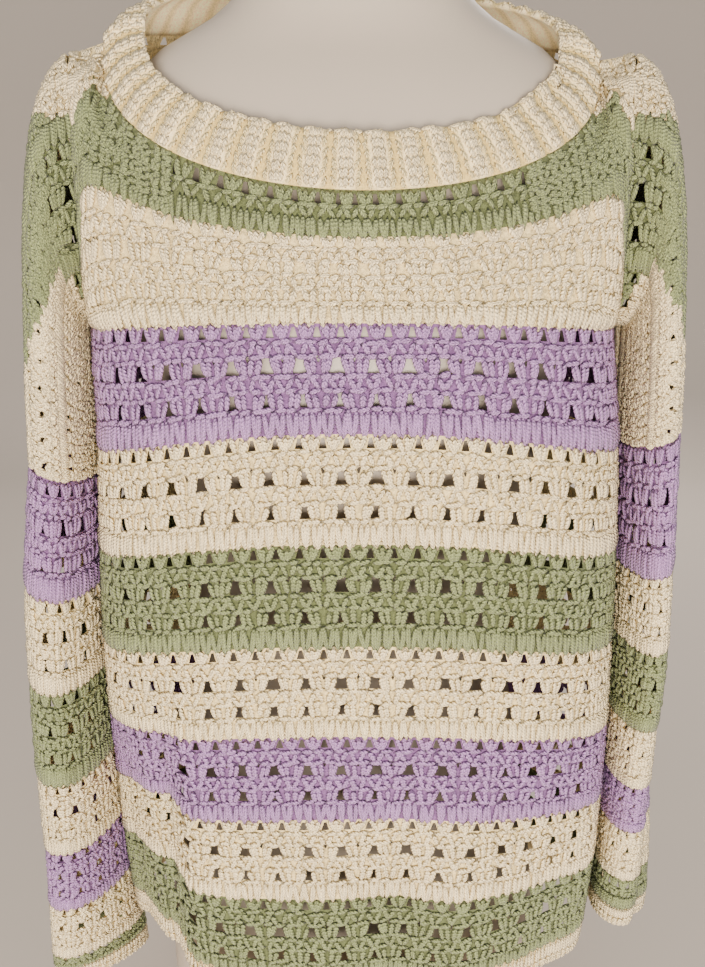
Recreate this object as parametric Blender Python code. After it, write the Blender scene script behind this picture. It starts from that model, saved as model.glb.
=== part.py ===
"""Striped openwork crochet sweater, worn on a smooth limbless dress form.

Metres, +Z up, the front faces -Y. The origin is at the centre of the form's flat foot.
Every cloth piece is a closed wall: its inner face is a surface worked out from the tables
below, and its outer face lies one wall thickness outside it.
"""

import bpy
import numpy as np

# Driving sizes of the cloth
WALL = 0.0030            # thickness of the crochet cloth
SEAM_GAP = 0.0003        # between two pieces that are sewn together
RING_GAP = 0.0009        # the same where the seam is a curved ring of straight chords
SEAM_Y = -0.004          # the plane of the shoulder, side and underarm seams
REST_GAP = 0.0004        # between the cloth and the form where it rests
BODY_SHIFT = 0.004       # the body hangs this far to the right of the form's middle
CHEST_POWER = 2.35       # squareness of the rings round the body
FRONT_LIFT_POWER = 2.5   # how quickly a ring climbs from its side to its front
REST_FROM_Z = 0.73       # above this height the cloth may rest on the form
SHARP_ANGLE = 50         # degrees; faces that meet at less are shaded as one surface

# Neckband
RIB_COUNT = 48
RIB_HEIGHT = 0.0028
RIB_STEPS = 4
NECK_SHIFT = -0.004
NECK_LEAN = 0.006        # the band sits this much higher on the left
NECK_RISE_POWER = 0.8    # how its plane turns up towards the shoulders

# Mesh density
NECK_COLUMNS = 12        # columns of a panel on each quarter of the neckband
SEAM_COLUMNS = 3         # and on each shoulder seam
YOKE_ROWS = 10
SKIRT_ROWS = 16
SLEEVE_ROWS = 12
FORM_COLUMNS = 36
FORM_ROWS = 26

# Dress form, a row for each level
FORM_COLUMNS_NAMED = ("z", "half_width", "centre_y", "half_depth", "power")
FORM = (
    (0.000, 0.146, 0.005, 0.102, 2.2),
    (0.100, 0.156, 0.008, 0.108, 2.2),
    (0.200, 0.150, 0.008, 0.103, 2.2),
    (0.300, 0.134, 0.004, 0.093, 2.2),
    (0.400, 0.122, 0.000, 0.088, 2.2),
    (0.500, 0.132, -0.006, 0.100, 2.2),
    (0.580, 0.146, -0.012, 0.110, 2.3),
    (0.630, 0.152, -0.012, 0.111, 2.4),
    (0.690, 0.155, -0.002, 0.101, 2.4),
    (0.740, 0.159, 0.004, 0.092, 2.4),
    (0.780, 0.159, 0.012, 0.0857, 2.5),
    (0.805, 0.153, 0.016, 0.078, 2.5),
    (0.825, 0.136, 0.017, 0.068, 2.4),
    (0.845, 0.100, 0.014, 0.060, 2.2),
    (0.862, 0.080, 0.010, 0.056, 2.1),
    (0.880, 0.070, 0.006, 0.054, 2.0),
    (0.910, 0.060, 0.004, 0.052, 2.0),
    (0.950, 0.057, 0.004, 0.050, 2.0),
    (0.960, 0.050, 0.004, 0.043, 2.0),
)

CHEST_Z = 0.72           # the form narrows all the way from here to its neck
HALVINGS = 18            # of that stretch, to find the form's height under a point

# Rings round the body, a row for each colour change, from the armpit (level 2) to the hem
BODY_COLUMNS_NAMED = ("level", "side_x", "side_z", "front_y", "front_z", "back_y", "back_z")
BODY = (
    (2.0, 0.185, 0.640, -0.1210, 0.649, 0.116, 0.650),
    (3.0, 0.190, 0.552, -0.1275, 0.580, 0.117, 0.574),
    (4.0, 0.194, 0.474, -0.1240, 0.505, 0.114, 0.500),
    (5.0, 0.196, 0.400, -0.1210, 0.431, 0.112, 0.428),
    (6.0, 0.197, 0.330, -0.1190, 0.362, 0.114, 0.358),
    (7.0, 0.196, 0.270, -0.1180, 0.295, 0.118, 0.290),
    (8.0, 0.194, 0.216, -0.1180, 0.228, 0.120, 0.224),
    (9.0, 0.189, 0.160, -0.1170, 0.160, 0.120, 0.158),
    (10.0, 0.187, 0.139, -0.1160, 0.138, 0.119, 0.137),
)
ARMPIT_LEVEL = 2.0
HEM_LEVEL = 9.0
HEM_END = 10.0

# Upper arms, a row for each station from the shoulder point (0) to the armhole (1)
ARM_COLUMNS_NAMED = ("along", "outer", "outer_z", "inner", "inner_z", "front", "back", "pinch")
ARM = (
    (0.00, 0.12, 0.820, 0.00, 0.640, 0.050, 0.058, 0.0090),
    (0.10, 0.33, 0.808, 0.90, 0.637, 0.065, 0.070, 0.0020),
    (0.25, 0.56, 0.778, 1.00, 0.624, 0.070, 0.074, 0.0000),
    (0.42, 0.74, 0.727, 1.00, 0.606, 0.072, 0.075, 0.0000),
    (0.60, 0.85, 0.668, 1.00, 0.582, 0.0725, 0.075, 0.0000),
    (0.80, 0.95, 0.606, 1.00, 0.555, 0.0730, 0.075, 0.0000),
    (1.00, 1.00, 0.549, 1.00, 0.527, 0.0735, 0.075, 0.0000),
)
ARM_STATIONS = (0.0, 0.09, 0.2, 0.34, 0.5, 0.66, 0.83, 1.0)
SHOULDER_X = 0.191       # outer edge of the arm at station 0, less its first share
SHOULDER_SWELL = 0.011   # how far the chest spreads beside the neckband
SWELL_FLATNESS = 0.6     # how evenly it spreads from top to bottom
SWELL_END = 6            # how closely the spread stops at the crease
CHEST_TURN = 0.35        # where round the body the chest begins to turn towards the crease
CHEST_RUN = 0.70         # and over what share of it
CORNER_SHARE = 0.25      # how far down it settles into them below the neckband's corner
CORNER_POWER = 8         # how closely the columns beside the crease keep their bend
CREASE_POWER = 2.5       # how closely the crease's own narrowing keeps to it
CREASE_THINNING = ((-1, 0.7), (0, 0.5), (1, 0.45), (2, 0.7), (3, 0.85))  # column, share
ARMPIT_THINNING = 0.75   # the wall at the underarm's arch
ARMPIT_X = 0.190         # the arch of the underarm
ARCH = 0.12              # the levels that the arch takes below the armpit
ARCH_POWER = 24          # how closely it keeps to the side seam

# Where each arm's inside surface lies, measured from the middle of the form
SIDES = {
    "left": {"sign": -1.0, "inner_x": 0.1945, "outer_x": 0.2325, "raise": 0.000},
    "right": {"sign": 1.0, "inner_x": 0.2026, "outer_x": 0.2320, "raise": 0.025},
}

# Sleeves, a row for each section from the armhole to the end of the cuff
SLEEVE_COLUMNS_NAMED = (
    "z", "x", "half_width", "half_front", "half_back", "twist", "outer_rise", "front_rise",
)
SLEEVES = {
    "left": (
        (0.5380, 0.2135, 0.0190, 0.0735, 0.0750, 0.0, 0.011, 0.000),
        (0.4500, 0.2218, 0.0228, 0.0725, 0.0725, 0.0, 0.008, 0.000),
        (0.3600, 0.2253, 0.0238, 0.0700, 0.0700, 0.0, 0.004, 0.000),
        (0.2700, 0.2257, 0.0252, 0.0670, 0.0670, 2.0, 0.002, 0.003),
        (0.1900, 0.2240, 0.0262, 0.0640, 0.0640, 6.0, 0.000, 0.008),
        (0.1300, 0.2220, 0.0268, 0.0610, 0.0610, 11.0, -0.003, 0.016),
        (0.1000, 0.2195, 0.0262, 0.0590, 0.0590, 16.0, -0.006, 0.020),
        (0.0860, 0.2180, 0.0258, 0.0580, 0.0580, 18.0, -0.006, 0.021),
    ),
    "right": (
        (0.5630, 0.2173, 0.0147, 0.0735, 0.0750, 0.0, 0.011, 0.000),
        (0.4700, 0.2205, 0.0142, 0.0730, 0.0730, 0.0, 0.006, 0.000),
        (0.3900, 0.2224, 0.0140, 0.0720, 0.0720, 0.0, 0.003, 0.000),
        (0.3300, 0.2228, 0.0140, 0.0700, 0.0700, 3.0, 0.001, 0.004),
        (0.2700, 0.2255, 0.0160, 0.0680, 0.0680, 8.0, 0.000, 0.010),
        (0.2100, 0.2290, 0.0185, 0.0650, 0.0650, 13.0, -0.002, 0.016),
        (0.1600, 0.2290, 0.0200, 0.0630, 0.0630, 16.0, -0.003, 0.020),
        (0.1440, 0.2285, 0.0200, 0.0620, 0.0620, 17.0, -0.003, 0.020),
    ),
}
CUFF_SECTION = 6         # the section of the tables above where the cuff begins

# Folds of the body: where round the body (-1 left seam, 0 middle, 1 right seam), the level
# where each starts and is full, how far it stands out, and how wide it is
FOLD_COLUMNS_NAMED = ("around", "start", "full", "height", "width")
FOLD_FADE = 0.12         # the share of a panel's half width over which folds fade to its seam
FRONT_FOLDS = (
    (-0.57, 4.6, 8.0, 0.0070, 0.070),
    (-0.30, 5.0, 9.0, 0.0030, 0.110),
    (0.06, 6.0, 8.5, -0.0065, 0.075),
    (0.22, 5.6, 8.5, 0.0045, 0.100),
    (0.52, 5.5, 8.8, -0.0040, 0.090),
    (0.74, 5.0, 8.6, 0.0050, 0.090),
)
BACK_FOLDS = (
    (-0.70, 4.8, 8.4, 0.0060, 0.100),
    (-0.42, 5.4, 8.6, -0.0060, 0.080),
    (-0.12, 5.0, 8.8, 0.0050, 0.110),
    (0.20, 5.8, 8.6, -0.0060, 0.085),
    (0.48, 5.2, 8.4, 0.0060, 0.090),
    (0.76, 5.5, 8.8, -0.0040, 0.080),
)

# The deep fold at the lower left, where the cloth turns back from the front
STEP_X = -0.116
STEP_RUN = 0.028
STEP_DEPTH = 0.036
STEP_START = 4.9
STEP_FULL = 7.4
STEP_ROOM = 0.05         # it fades where the front is nearer than this to the side seam's plane

# Dents along the sleeves: the angle round the tube, the heights where each starts and is
# full, its depth and its width
DENT_COLUMNS_NAMED = ("angle", "start_z", "full_z", "depth", "width")
DENTS = {
    "left": ((-48.0, 0.34, 0.20, 0.0045, 22.0), (118.0, 0.40, 0.25, 0.0050, 24.0)),
    "right": ((-38.0, 0.33, 0.22, 0.0060, 20.0), (150.0, 0.36, 0.24, 0.0050, 24.0)),
}

# Neckband edges, from its inner to its outer edge
NECK_COLUMNS_NAMED = ("across", "half_width", "front_y", "back_y", "front_z", "side_z", "back_z")
NECK = (
    (0.0, 0.142, -0.0880, 0.083, 0.764, 0.836, 0.880),
    (0.5, 0.157, -0.0955, 0.096, 0.747, 0.834, 0.868),
    (1.0, 0.169, -0.1010, 0.106, 0.729, 0.823, 0.848),
)
NECK_STEPS = 3
RIM_SHARE = 0.02         # the share of its width that gives the direction of its outer edge

# Finishes: base colour, roughness
CREAM = ((0.79, 0.70, 0.52), 0.85)
GREEN = ((0.23, 0.33, 0.16), 0.85)
LILAC = ((0.44, 0.31, 0.55), 0.85)
FORM_WHITE = ((0.78, 0.75, 0.71), 0.45)


def clear_scene():
    for thing in list(bpy.data.objects):
        bpy.data.objects.remove(thing, do_unlink=True)


def finish(name, look):
    """A plain Principled material from a colour and a roughness."""
    colour, roughness = look
    material = bpy.data.materials.new(name)
    material.use_nodes = True
    shader = material.node_tree.nodes["Principled BSDF"]
    shader.inputs["Base Color"].default_value = (*colour, 1.0)
    shader.inputs["Roughness"].default_value = roughness
    shader.inputs["Metallic"].default_value = 0.0
    return material


def column(table, names, name, at):
    """Reads one column of a table at any place, on a smooth curve through its rows.

    Cubic Hermite pieces with the mean of the neighbouring slopes at each row, held flat
    where the column turns, so that it never overshoots.
    """
    rows = np.array(table, dtype=float)
    x, y = rows[:, 0], rows[:, names.index(name)]
    if x[0] > x[-1]:
        x, y = x[::-1], y[::-1]
    step = np.diff(x)
    slope = np.diff(y) / step
    tangent = np.concatenate([[slope[0]], (slope[:-1] + slope[1:]) / 2, [slope[-1]]])
    turns = np.concatenate([[False], slope[:-1] * slope[1:] <= 0, [False]])
    tangent[turns] = 0.0
    at = np.clip(np.asarray(at, dtype=float), x[0], x[-1])
    i = np.clip(np.searchsorted(x, at, side="right") - 1, 0, len(x) - 2)
    t = (at - x[i]) / step[i]
    start = (1 + 2 * t) * (1 - t) ** 2 * y[i] + t * (1 - t) ** 2 * step[i] * tangent[i]
    end = t**2 * (3 - 2 * t) * y[i + 1] + t**2 * (t - 1) * step[i] * tangent[i + 1]
    return start + end


def ease(value):
    """0 up to 0, 1 from 1, and a smooth S between."""
    value = np.clip(value, 0.0, 1.0)
    return value * value * (3 - 2 * value)


def form_column(name, z):
    return column(FORM, FORM_COLUMNS_NAMED, name, z)


def form_top(x, y, grow):
    """The height of the form's surface, grown by a clearance, above a point of the floor:
    the height between the chest and the neck is halved until the ring there meets it."""
    low, high = np.full(np.shape(x), CHEST_Z), np.full(np.shape(x), FORM[-1][0])
    for _ in range(HALVINGS):
        z = (low + high) / 2
        power = form_column("power", z)
        wide = form_column("half_width", z) + grow
        deep = form_column("half_depth", z) + grow
        ring = np.abs(x / wide) ** power + np.abs((y - form_column("centre_y", z)) / deep) ** power
        low, high = np.where(ring < 1.0, z, low), np.where(ring < 1.0, high, z)
    return low


def rest_on_form(points):
    """Lifts points that would sink into the form's chest and shoulders."""
    x, y, z = points[..., 0], points[..., 1], points[..., 2]
    top = form_top(x, y, REST_GAP) + REST_GAP
    lifted = points.copy()
    lifted[..., 2] = np.where(z > REST_FROM_Z, np.maximum(z, top), z)
    return lifted


def neck_edge(angle, across):
    """The neckband's inside surface: an ellipse in a plane that slopes down to the front,
    growing from its inner to its outer edge. Angle 0 is the front, 90 degrees the right."""
    value = {
        name: column(NECK, NECK_COLUMNS_NAMED, name, across)
        for name in NECK_COLUMNS_NAMED[1:]
    }
    turn, forward = np.sin(angle), np.cos(angle)
    front = forward > 0
    reach = np.where(front, value["front_y"] - SEAM_Y, SEAM_Y - value["back_y"])
    end_z = np.where(front, value["front_z"], value["back_z"])
    x = NECK_SHIFT * forward**2 + value["half_width"] * turn
    y = SEAM_Y + reach * forward
    rise = np.abs(forward) ** NECK_RISE_POWER
    z = value["side_z"] + (end_z - value["side_z"]) * rise - NECK_LEAN * turn
    return np.stack([x, y, z], axis=-1)


def neck_point(angle, across):
    """The neckband's inside surface where it rests on the form."""
    return rest_on_form(neck_edge(angle, across))


def neck_rim_normal(angle):
    """The direction square to the neckband at its outer edge, which the panels' top edges
    share, so that the two edges face each other."""
    small = 0.001
    down = neck_point(angle, 1.0) - neck_point(angle, 1.0 - small)
    along = neck_point(angle + small, 1.0) - neck_point(angle - small, 1.0)
    square = np.cross(down, along)
    square[np.abs(np.cos(angle)) < 1e-6, 1] = 0.0
    return square / np.linalg.norm(square, axis=-1, keepdims=True)


def on_chords(curve, angle, step):
    """A closed curve's point at an angle, on the straight chord between its two nearest
    corners, which are a step apart."""
    low = np.floor(angle / step + 1e-6) * step
    share = ((angle - low) / step)[..., None]
    return curve(low) * (1 - share) + curve(low + step) * share


def arm_point(side, back, along, around):
    """The upper arm's inside surface. Along runs from the shoulder point to the armhole,
    around from the shoulder seam (0) over the front or back to the underarm seam (1): half
    an ellipse between the two seams."""
    arm = SIDES[side]
    value = {
        name: column(ARM, ARM_COLUMNS_NAMED, name, along) for name in ARM_COLUMNS_NAMED[1:]
    }
    outer_x = SHOULDER_X + (arm["outer_x"] - SHOULDER_X) * value["outer"]
    inner_x = ARMPIT_X + (arm["inner_x"] - ARMPIT_X) * value["inner"]
    share = (1 - np.cos(np.pi * around)) / 2
    bulge = np.sin(np.pi * around)
    x = outer_x + (inner_x - outer_x) * share - value["pinch"] * bulge
    depth = value["back"] if back else -value["front"]
    y = SEAM_Y + depth * bulge
    z = value["outer_z"] + (value["inner_z"] - value["outer_z"]) * share
    z = z + arm["raise"] * along
    return np.stack([arm["sign"] * x, y, z], axis=-1)


def top_edge(across, back):
    """The panel's top edge: round the neckband, then along the shoulder seam to the
    shoulder point. Across runs from -1 at the left to 1 at the right."""
    neck_share = NECK_COLUMNS / (NECK_COLUMNS + SEAM_COLUMNS)
    inner = np.clip(np.abs(across) / neck_share, 0.0, 1.0) * np.pi / 2
    angle = np.sign(across) * (np.pi - inner if back else inner)
    angle = np.where(across == 0, np.pi if back else 0.0, angle)
    on_neck = neck_point(angle, 1.0)
    corner = neck_point(np.where(across < 0, -np.pi / 2, np.pi / 2), 1.0)
    left = arm_point("left", back, 0.0, 0.0)
    right = arm_point("right", back, 0.0, 0.0)
    point = np.where((across < 0)[..., None], left, right)
    out = np.clip((np.abs(across) - neck_share) / (1 - neck_share), 0, 1)
    on_seam = corner + (point - corner) * out[..., None]
    return np.where((np.abs(across) > neck_share + 1e-6)[..., None], on_seam, on_neck)


def body_ring(across, level, back):
    """A ring round the body below the armpit: half a superellipse from side seam to side
    seam, climbing from its sides to its middle. Just below the armpit its ends spread into
    the arch between body and arm."""
    value = {
        name: column(BODY, BODY_COLUMNS_NAMED, name, level)
        for name in BODY_COLUMNS_NAMED[1:]
    }
    arch = np.exp(-(level - ARMPIT_LEVEL) / ARCH)
    arch = arch * np.abs(across) ** ARCH_POWER
    side_x = value["side_x"] + (ARMPIT_X - BODY[0][1]) * arch
    shift = BODY_SHIFT * ease(level - ARMPIT_LEVEL)
    end_x = np.sign(across) * side_x + shift
    angle = np.abs(across) * np.pi / 2
    wide = np.sin(angle) ** (2 / CHEST_POWER)
    deep = np.clip(np.cos(angle), 0, 1) ** (2 / CHEST_POWER)
    climb = np.clip(np.cos(angle), 0, 1) ** FRONT_LIFT_POWER
    middle_y = value["back_y"] if back else value["front_y"]
    middle_z = value["back_z"] if back else value["front_z"]
    x = end_x * wide + shift * (1 - wide)
    y = SEAM_Y + (middle_y - SEAM_Y) * deep
    z = value["side_z"] + (middle_z - value["side_z"]) * climb
    return np.stack([x, y, z], axis=-1)


def yoke(across, share, back):
    """The chest or upper back, from its top edge (share 0) to the armpit's level (1):
    straight lines from one to the other, bent towards its sides as the crease beside the
    upper arm is, and spread outwards beside the neckband."""
    top = top_edge(across, back)
    ring = body_ring(across, np.full(np.shape(across), ARMPIT_LEVEL), back)
    points = top + (ring - top) * share[..., None]
    for side, arm in SIDES.items():
        crease = arm_point(side, back, 0.0, share)
        start, end = arm_point(side, back, 0.0, 0.0), arm_point(side, back, 0.0, 1.0)
        bend = crease - (start + (end - start) * share[..., None])
        here = across * arm["sign"] > 0
        settle = 1 - (1 - np.abs(across) ** CORNER_POWER) * (1 - ease(share / CORNER_SHARE))
        forward = ease((np.abs(across) - CHEST_TURN) / CHEST_RUN) * settle
        inward = np.abs(across) ** CREASE_POWER * settle
        points[..., 0] += bend[..., 0] * np.where(here, inward, 0.0)
        points[..., 1] += bend[..., 1] * np.where(here, forward, 0.0)
        points[..., 2] += bend[..., 2] * np.where(here, forward, 0.0)
    beside = 4 * across**2 * (1 - across**2) * (1 - across**SWELL_END)
    swell = np.sin(np.pi * share) ** SWELL_FLATNESS * beside
    points[..., 0] += SHOULDER_SWELL * np.sign(across) * swell
    return points


def folds(points, across, level, back):
    """Pushes soft ridges and troughs in or out, growing towards the hem, and turns the
    cloth back at the deep fold at the lower left of the front."""
    moved = points.copy()
    outward = 1.0 if back else -1.0
    edge = np.clip((1 - np.abs(across)) / FOLD_FADE, 0, 1)
    for row in BACK_FOLDS if back else FRONT_FOLDS:
        fold = dict(zip(FOLD_COLUMNS_NAMED, row))
        grow = ease((level - fold["start"]) / (fold["full"] - fold["start"])) * edge
        bump = fold["height"] * grow * np.exp(-(((across - fold["around"]) / fold["width"]) ** 2))
        moved[..., 1] += outward * bump
    if not back:
        grow = ease((level - STEP_START) / (STEP_FULL - STEP_START))
        past = ease((STEP_X - points[..., 0]) / STEP_RUN)
        room = np.clip((SEAM_Y - points[..., 1]) / STEP_ROOM, 0, 1)
        moved[..., 1] += STEP_DEPTH * grow * past * room
    return moved


def body_point(across, level, back):
    """The inside surface of the front or back, from its top edge down to the hem."""
    upper = yoke(across, np.clip(level / ARMPIT_LEVEL, 0, 1), back)
    lower = body_ring(across, np.maximum(level, ARMPIT_LEVEL), back)
    points = np.where((level < ARMPIT_LEVEL)[..., None], upper, lower)
    return folds(points, across, level, back)


def sleeve_point(side, z_row, angle):
    """A sleeve's inside surface: ellipses down the arm, turned, tilted and dented.
    Angle 0 is the outer side, -90 degrees the front."""
    table, sign = SLEEVES[side], SIDES[side]["sign"]
    value = {
        name: column(table, SLEEVE_COLUMNS_NAMED, name, z_row)
        for name in SLEEVE_COLUMNS_NAMED[1:]
    }
    out, rear = np.cos(angle), np.sin(angle)
    depth = np.where(rear < 0, value["half_front"], value["half_back"])
    dent = np.zeros(np.broadcast(z_row, angle).shape)
    for row in DENTS[side]:
        fold = dict(zip(DENT_COLUMNS_NAMED, row))
        away = (angle - np.radians(fold["angle"]) + np.pi) % (2 * np.pi) - np.pi
        grow = ease((fold["start_z"] - z_row) / (fold["start_z"] - fold["full_z"]))
        dent = dent + fold["depth"] * grow * np.exp(-((away / np.radians(fold["width"])) ** 2))
    local_x = sign * (value["half_width"] * out - dent * out)
    local_y = depth * rear - dent * rear
    twist = np.radians(value["twist"])
    x = sign * value["x"] + local_x * np.cos(twist) + local_y * np.sin(twist)
    y = SEAM_Y - local_x * np.sin(twist) + local_y * np.cos(twist)
    z = z_row + value["outer_rise"] * out - value["front_rise"] * rear
    return np.stack([x, y, z], axis=-1)


def cell_faces(filled, wraps):
    """The outward quads of a lattice's filled cells, and their edges that no other cell
    shares, each as its own quad runs along it. Rows run down, columns to the right as seen
    from outside."""
    rows, columns = filled.shape
    count = columns if wraps else columns + 1

    def corner(row, col):
        return row * count + col % count

    quads, rim = [], []
    for row in range(rows):
        for col in range(columns):
            if not filled[row, col]:
                continue
            a, b = corner(row, col), corner(row, col + 1)
            d, c = corner(row + 1, col), corner(row + 1, col + 1)
            quads.append((a, d, c, b))
            left = (col - 1) % columns if wraps else col - 1
            right = (col + 1) % columns if wraps else col + 1
            if row == 0 or not filled[row - 1, col]:
                rim.append((b, a))
            if right >= columns or not filled[row, right]:
                rim.append((c, b))
            if row == rows - 1 or not filled[row + 1, col]:
                rim.append((d, c))
            if left < 0 or not filled[row, left]:
                rim.append((a, d))
    return quads, rim


def corner_normals(points, quads):
    """Normals at the lattice's points, the mean of the quads' around each."""
    normals = np.zeros_like(points)
    quads = np.array(quads)
    a, b, c, d = (points[quads[:, k]] for k in range(4))
    face = np.cross(c - a, d - b)
    for k in range(4):
        np.add.at(normals, quads[:, k], face)
    length = np.linalg.norm(normals, axis=1, keepdims=True)
    return normals / np.maximum(length, 1e-12)


def wall(name, lattice, filled, wraps, look, thickness=WALL, seam_y=None, normals=None):
    """A closed wall over a lattice of inside points: the same lattice moved out along its
    normals, and a rim that joins the two. Thickness may be an array over the lattice.
    Points in the seam's plane move within it, and normals gives some directions outright."""
    rows, columns = lattice.shape[:2]
    inside = lattice.reshape(-1, 3)
    quads, rim = cell_faces(filled, wraps)
    outward = corner_normals(inside, quads)
    if seam_y is not None:
        outward[np.abs(inside[:, 1] - seam_y) < 1e-6, 1] = 0.0
        outward /= np.maximum(np.linalg.norm(outward, axis=1, keepdims=True), 1e-12)
    for (row, col), direction in (normals or {}).items():
        outward[row * columns + col] = direction
    depth = np.broadcast_to(thickness, (rows, columns)).reshape(-1, 1)
    outside = inside + outward * depth
    total = len(inside)
    outer_faces = [tuple(corner + total for corner in quad) for quad in quads]
    inner_faces = [tuple(reversed(quad)) for quad in quads]
    rim_faces = [(a, b, b + total, a + total) for a, b in rim]
    faces = outer_faces + inner_faces + rim_faces
    return solid(name, np.vstack([inside, outside]), faces, look)


def solid(name, points, faces, look):
    """An object from points and faces, without the points that no face uses."""
    used = sorted({corner for face in faces for corner in face})
    place = {old: new for new, old in enumerate(used)}
    mesh = bpy.data.meshes.new(name)
    mesh.from_pydata(
        [tuple(points[old]) for old in used],
        [],
        [tuple(place[corner] for corner in face) for face in faces],
    )
    mesh.update()
    mesh.shade_smooth()
    mesh.set_sharp_from_angle(angle=np.radians(SHARP_ANGLE))
    mesh.materials.append(look)
    thing = bpy.data.objects.new(name, mesh)
    bpy.context.collection.objects.link(thing)
    return thing


def build_panel(name, back, look):
    """The front or the back: one T-shaped wall. Its columns run from the left armhole over
    the body to the right armhole, and the arm columns stop at the underarm seam."""
    stations = np.array(ARM_STATIONS)
    arm_count = len(stations) - 1
    body_count = 2 * (NECK_COLUMNS + SEAM_COLUMNS)
    across = np.linspace(-1, 1, body_count + 1)
    upper = np.linspace(0, ARMPIT_LEVEL, YOKE_ROWS + 1)
    skirt = np.linspace(ARMPIT_LEVEL, HEM_LEVEL, SKIRT_ROWS + 1)[1:]
    levels = np.concatenate([upper, [ARMPIT_LEVEL + ARCH], skirt])
    rows, columns = len(levels), len(across) + 2 * arm_count
    lattice = np.zeros((rows, columns, 3))
    normals = {}
    middle = slice(arm_count, arm_count + len(across))
    grid_across, grid_level = np.meshgrid(across, levels)
    lattice[:, middle] = body_point(grid_across, grid_level, back)
    for side, arm in SIDES.items():
        along, around = np.meshgrid(stations[1:], upper / ARMPIT_LEVEL)
        points = arm_point(side, back, along, around)
        left = side == "left"
        place = slice(0, arm_count) if left else slice(arm_count + len(across), columns)
        lattice[: len(upper), place] = points[:, ::-1] if left else points
        end = 0 if left else columns - 1
        for row, share in enumerate(upper / ARMPIT_LEVEL):
            normals[row, end] = armhole_normal(side, back, share)
        normals[len(upper) - 1, arm_count if left else columns - 1 - arm_count] = (0, 0, -1)
    lattice = rest_on_form(lattice)
    step = np.pi / 2 / NECK_COLUMNS
    for place in range(-NECK_COLUMNS, NECK_COLUMNS + 1):
        angle = np.array(np.pi - place * step if back else place * step)
        col = arm_count + body_count // 2 + place
        normals[0, col] = neck_rim_normal(angle)
        edge = neck_point(angle, 1.0)
        down = edge - neck_point(angle, 1.0 - RIM_SHARE)
        lattice[0, col] = edge + down / np.linalg.norm(down) * RING_GAP
    filled = np.ones((rows - 1, columns - 1), dtype=bool)
    filled[len(upper) - 1 :, :arm_count] = False
    filled[len(upper) - 1 :, columns - 1 - arm_count :] = False
    thickness = np.full((rows, columns), WALL)
    for crease, inward in ((arm_count, 1), (columns - 1 - arm_count, -1)):
        for place, share in CREASE_THINNING:
            last = len(upper) - (place == 0)
            thickness[1:last, crease + inward * place] *= share
        thickness[len(upper) - 1 : len(upper) + 1, crease] *= ARMPIT_THINNING
    if back:
        lattice, filled, thickness = lattice[:, ::-1], filled[:, ::-1], thickness[:, ::-1]
        normals = {(row, columns - 1 - col): value for (row, col), value in normals.items()}
    thing = wall(name, lattice, filled, False, look, thickness, SEAM_Y, normals)
    shift = SEAM_GAP / 2 if back else -SEAM_GAP / 2
    for vertex in thing.data.vertices:
        vertex.co.y += shift
    return thing


def armhole_normal(side, back, around):
    """The level direction square to the arm at the armhole, around from its outer seam."""
    arm = SIDES[side]
    half_width = (arm["outer_x"] - arm["inner_x"]) / 2
    depth = column(ARM, ARM_COLUMNS_NAMED, "back" if back else "front", 1.0)
    out = np.cos(np.pi * around) / half_width * arm["sign"]
    rear = np.sin(np.pi * around) / depth * (1 if back else -1)
    return np.array([out, rear, 0.0]) / np.hypot(out, rear)


def build_sleeve(name, side, first, last, rows, look):
    """A stretch of a sleeve between two rows of its table, as an open tube."""
    table = SLEEVES[side]
    columns = 2 * YOKE_ROWS
    z = np.linspace(table[first][0] - RING_GAP, table[last][0], rows + 1)
    angle = np.linspace(0, 2 * np.pi, columns, endpoint=False)
    if side == "left":
        angle = angle[::-1]
    grid_angle, grid_z = np.meshgrid(angle, z)
    lattice = sleeve_point(side, grid_z, grid_angle)
    filled = np.ones((rows, columns), dtype=bool)
    normals = {}
    if first == 0:
        for col, turn in enumerate(angle):
            back = turn < np.pi
            around = turn / np.pi if back else 2 - turn / np.pi
            normals[0, col] = armhole_normal(side, back, around)
    return wall(name, lattice, filled, True, look, normals=normals)


def build_hem(name, look):
    """The hem band: the last ring of the body, carried on below the panels."""
    levels = np.array([HEM_LEVEL, (HEM_LEVEL + HEM_END) / 2, HEM_END])
    half = 2 * (NECK_COLUMNS + SEAM_COLUMNS)
    across = np.linspace(-1, 1, half + 1)[:-1]
    grid_across, grid_level = np.meshgrid(across, levels)
    front = body_point(grid_across, grid_level, False)
    rear = body_point(-grid_across, grid_level, True)
    lattice = np.concatenate([front, rear], axis=1)
    lattice[0, :, 2] -= RING_GAP
    filled = np.ones((len(levels) - 1, 2 * half), dtype=bool)
    return wall(name, lattice, filled, True, look)


def build_neckband(name, look):
    """The neckband: a plain inside, and ribs raised in its outside points. Its outer rim
    follows the straight chords of the panels' top edges."""
    count = RIB_COUNT * RIB_STEPS
    angle = np.linspace(0, 2 * np.pi, count, endpoint=False)
    across = np.linspace(0, 1, NECK_STEPS + 1)
    grid_angle, grid_across = np.meshgrid(angle, across)
    lattice = neck_point(grid_angle, grid_across)
    step = np.pi / 2 / NECK_COLUMNS
    lattice[-1] = on_chords(lambda at: neck_point(at, 1.0), angle, step)
    rim = on_chords(neck_rim_normal, angle, step)
    normals = {(NECK_STEPS, col): rim[col] for col in range(count)}
    thickness = np.full(lattice.shape[:2], WALL)
    thickness[:-1] += RIB_HEIGHT * np.clip(np.cos(grid_angle[:-1] * RIB_COUNT), 0, 1)
    filled = np.ones((NECK_STEPS, count), dtype=bool)
    return wall(name, lattice, filled, True, look, thickness, normals=normals)


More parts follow.
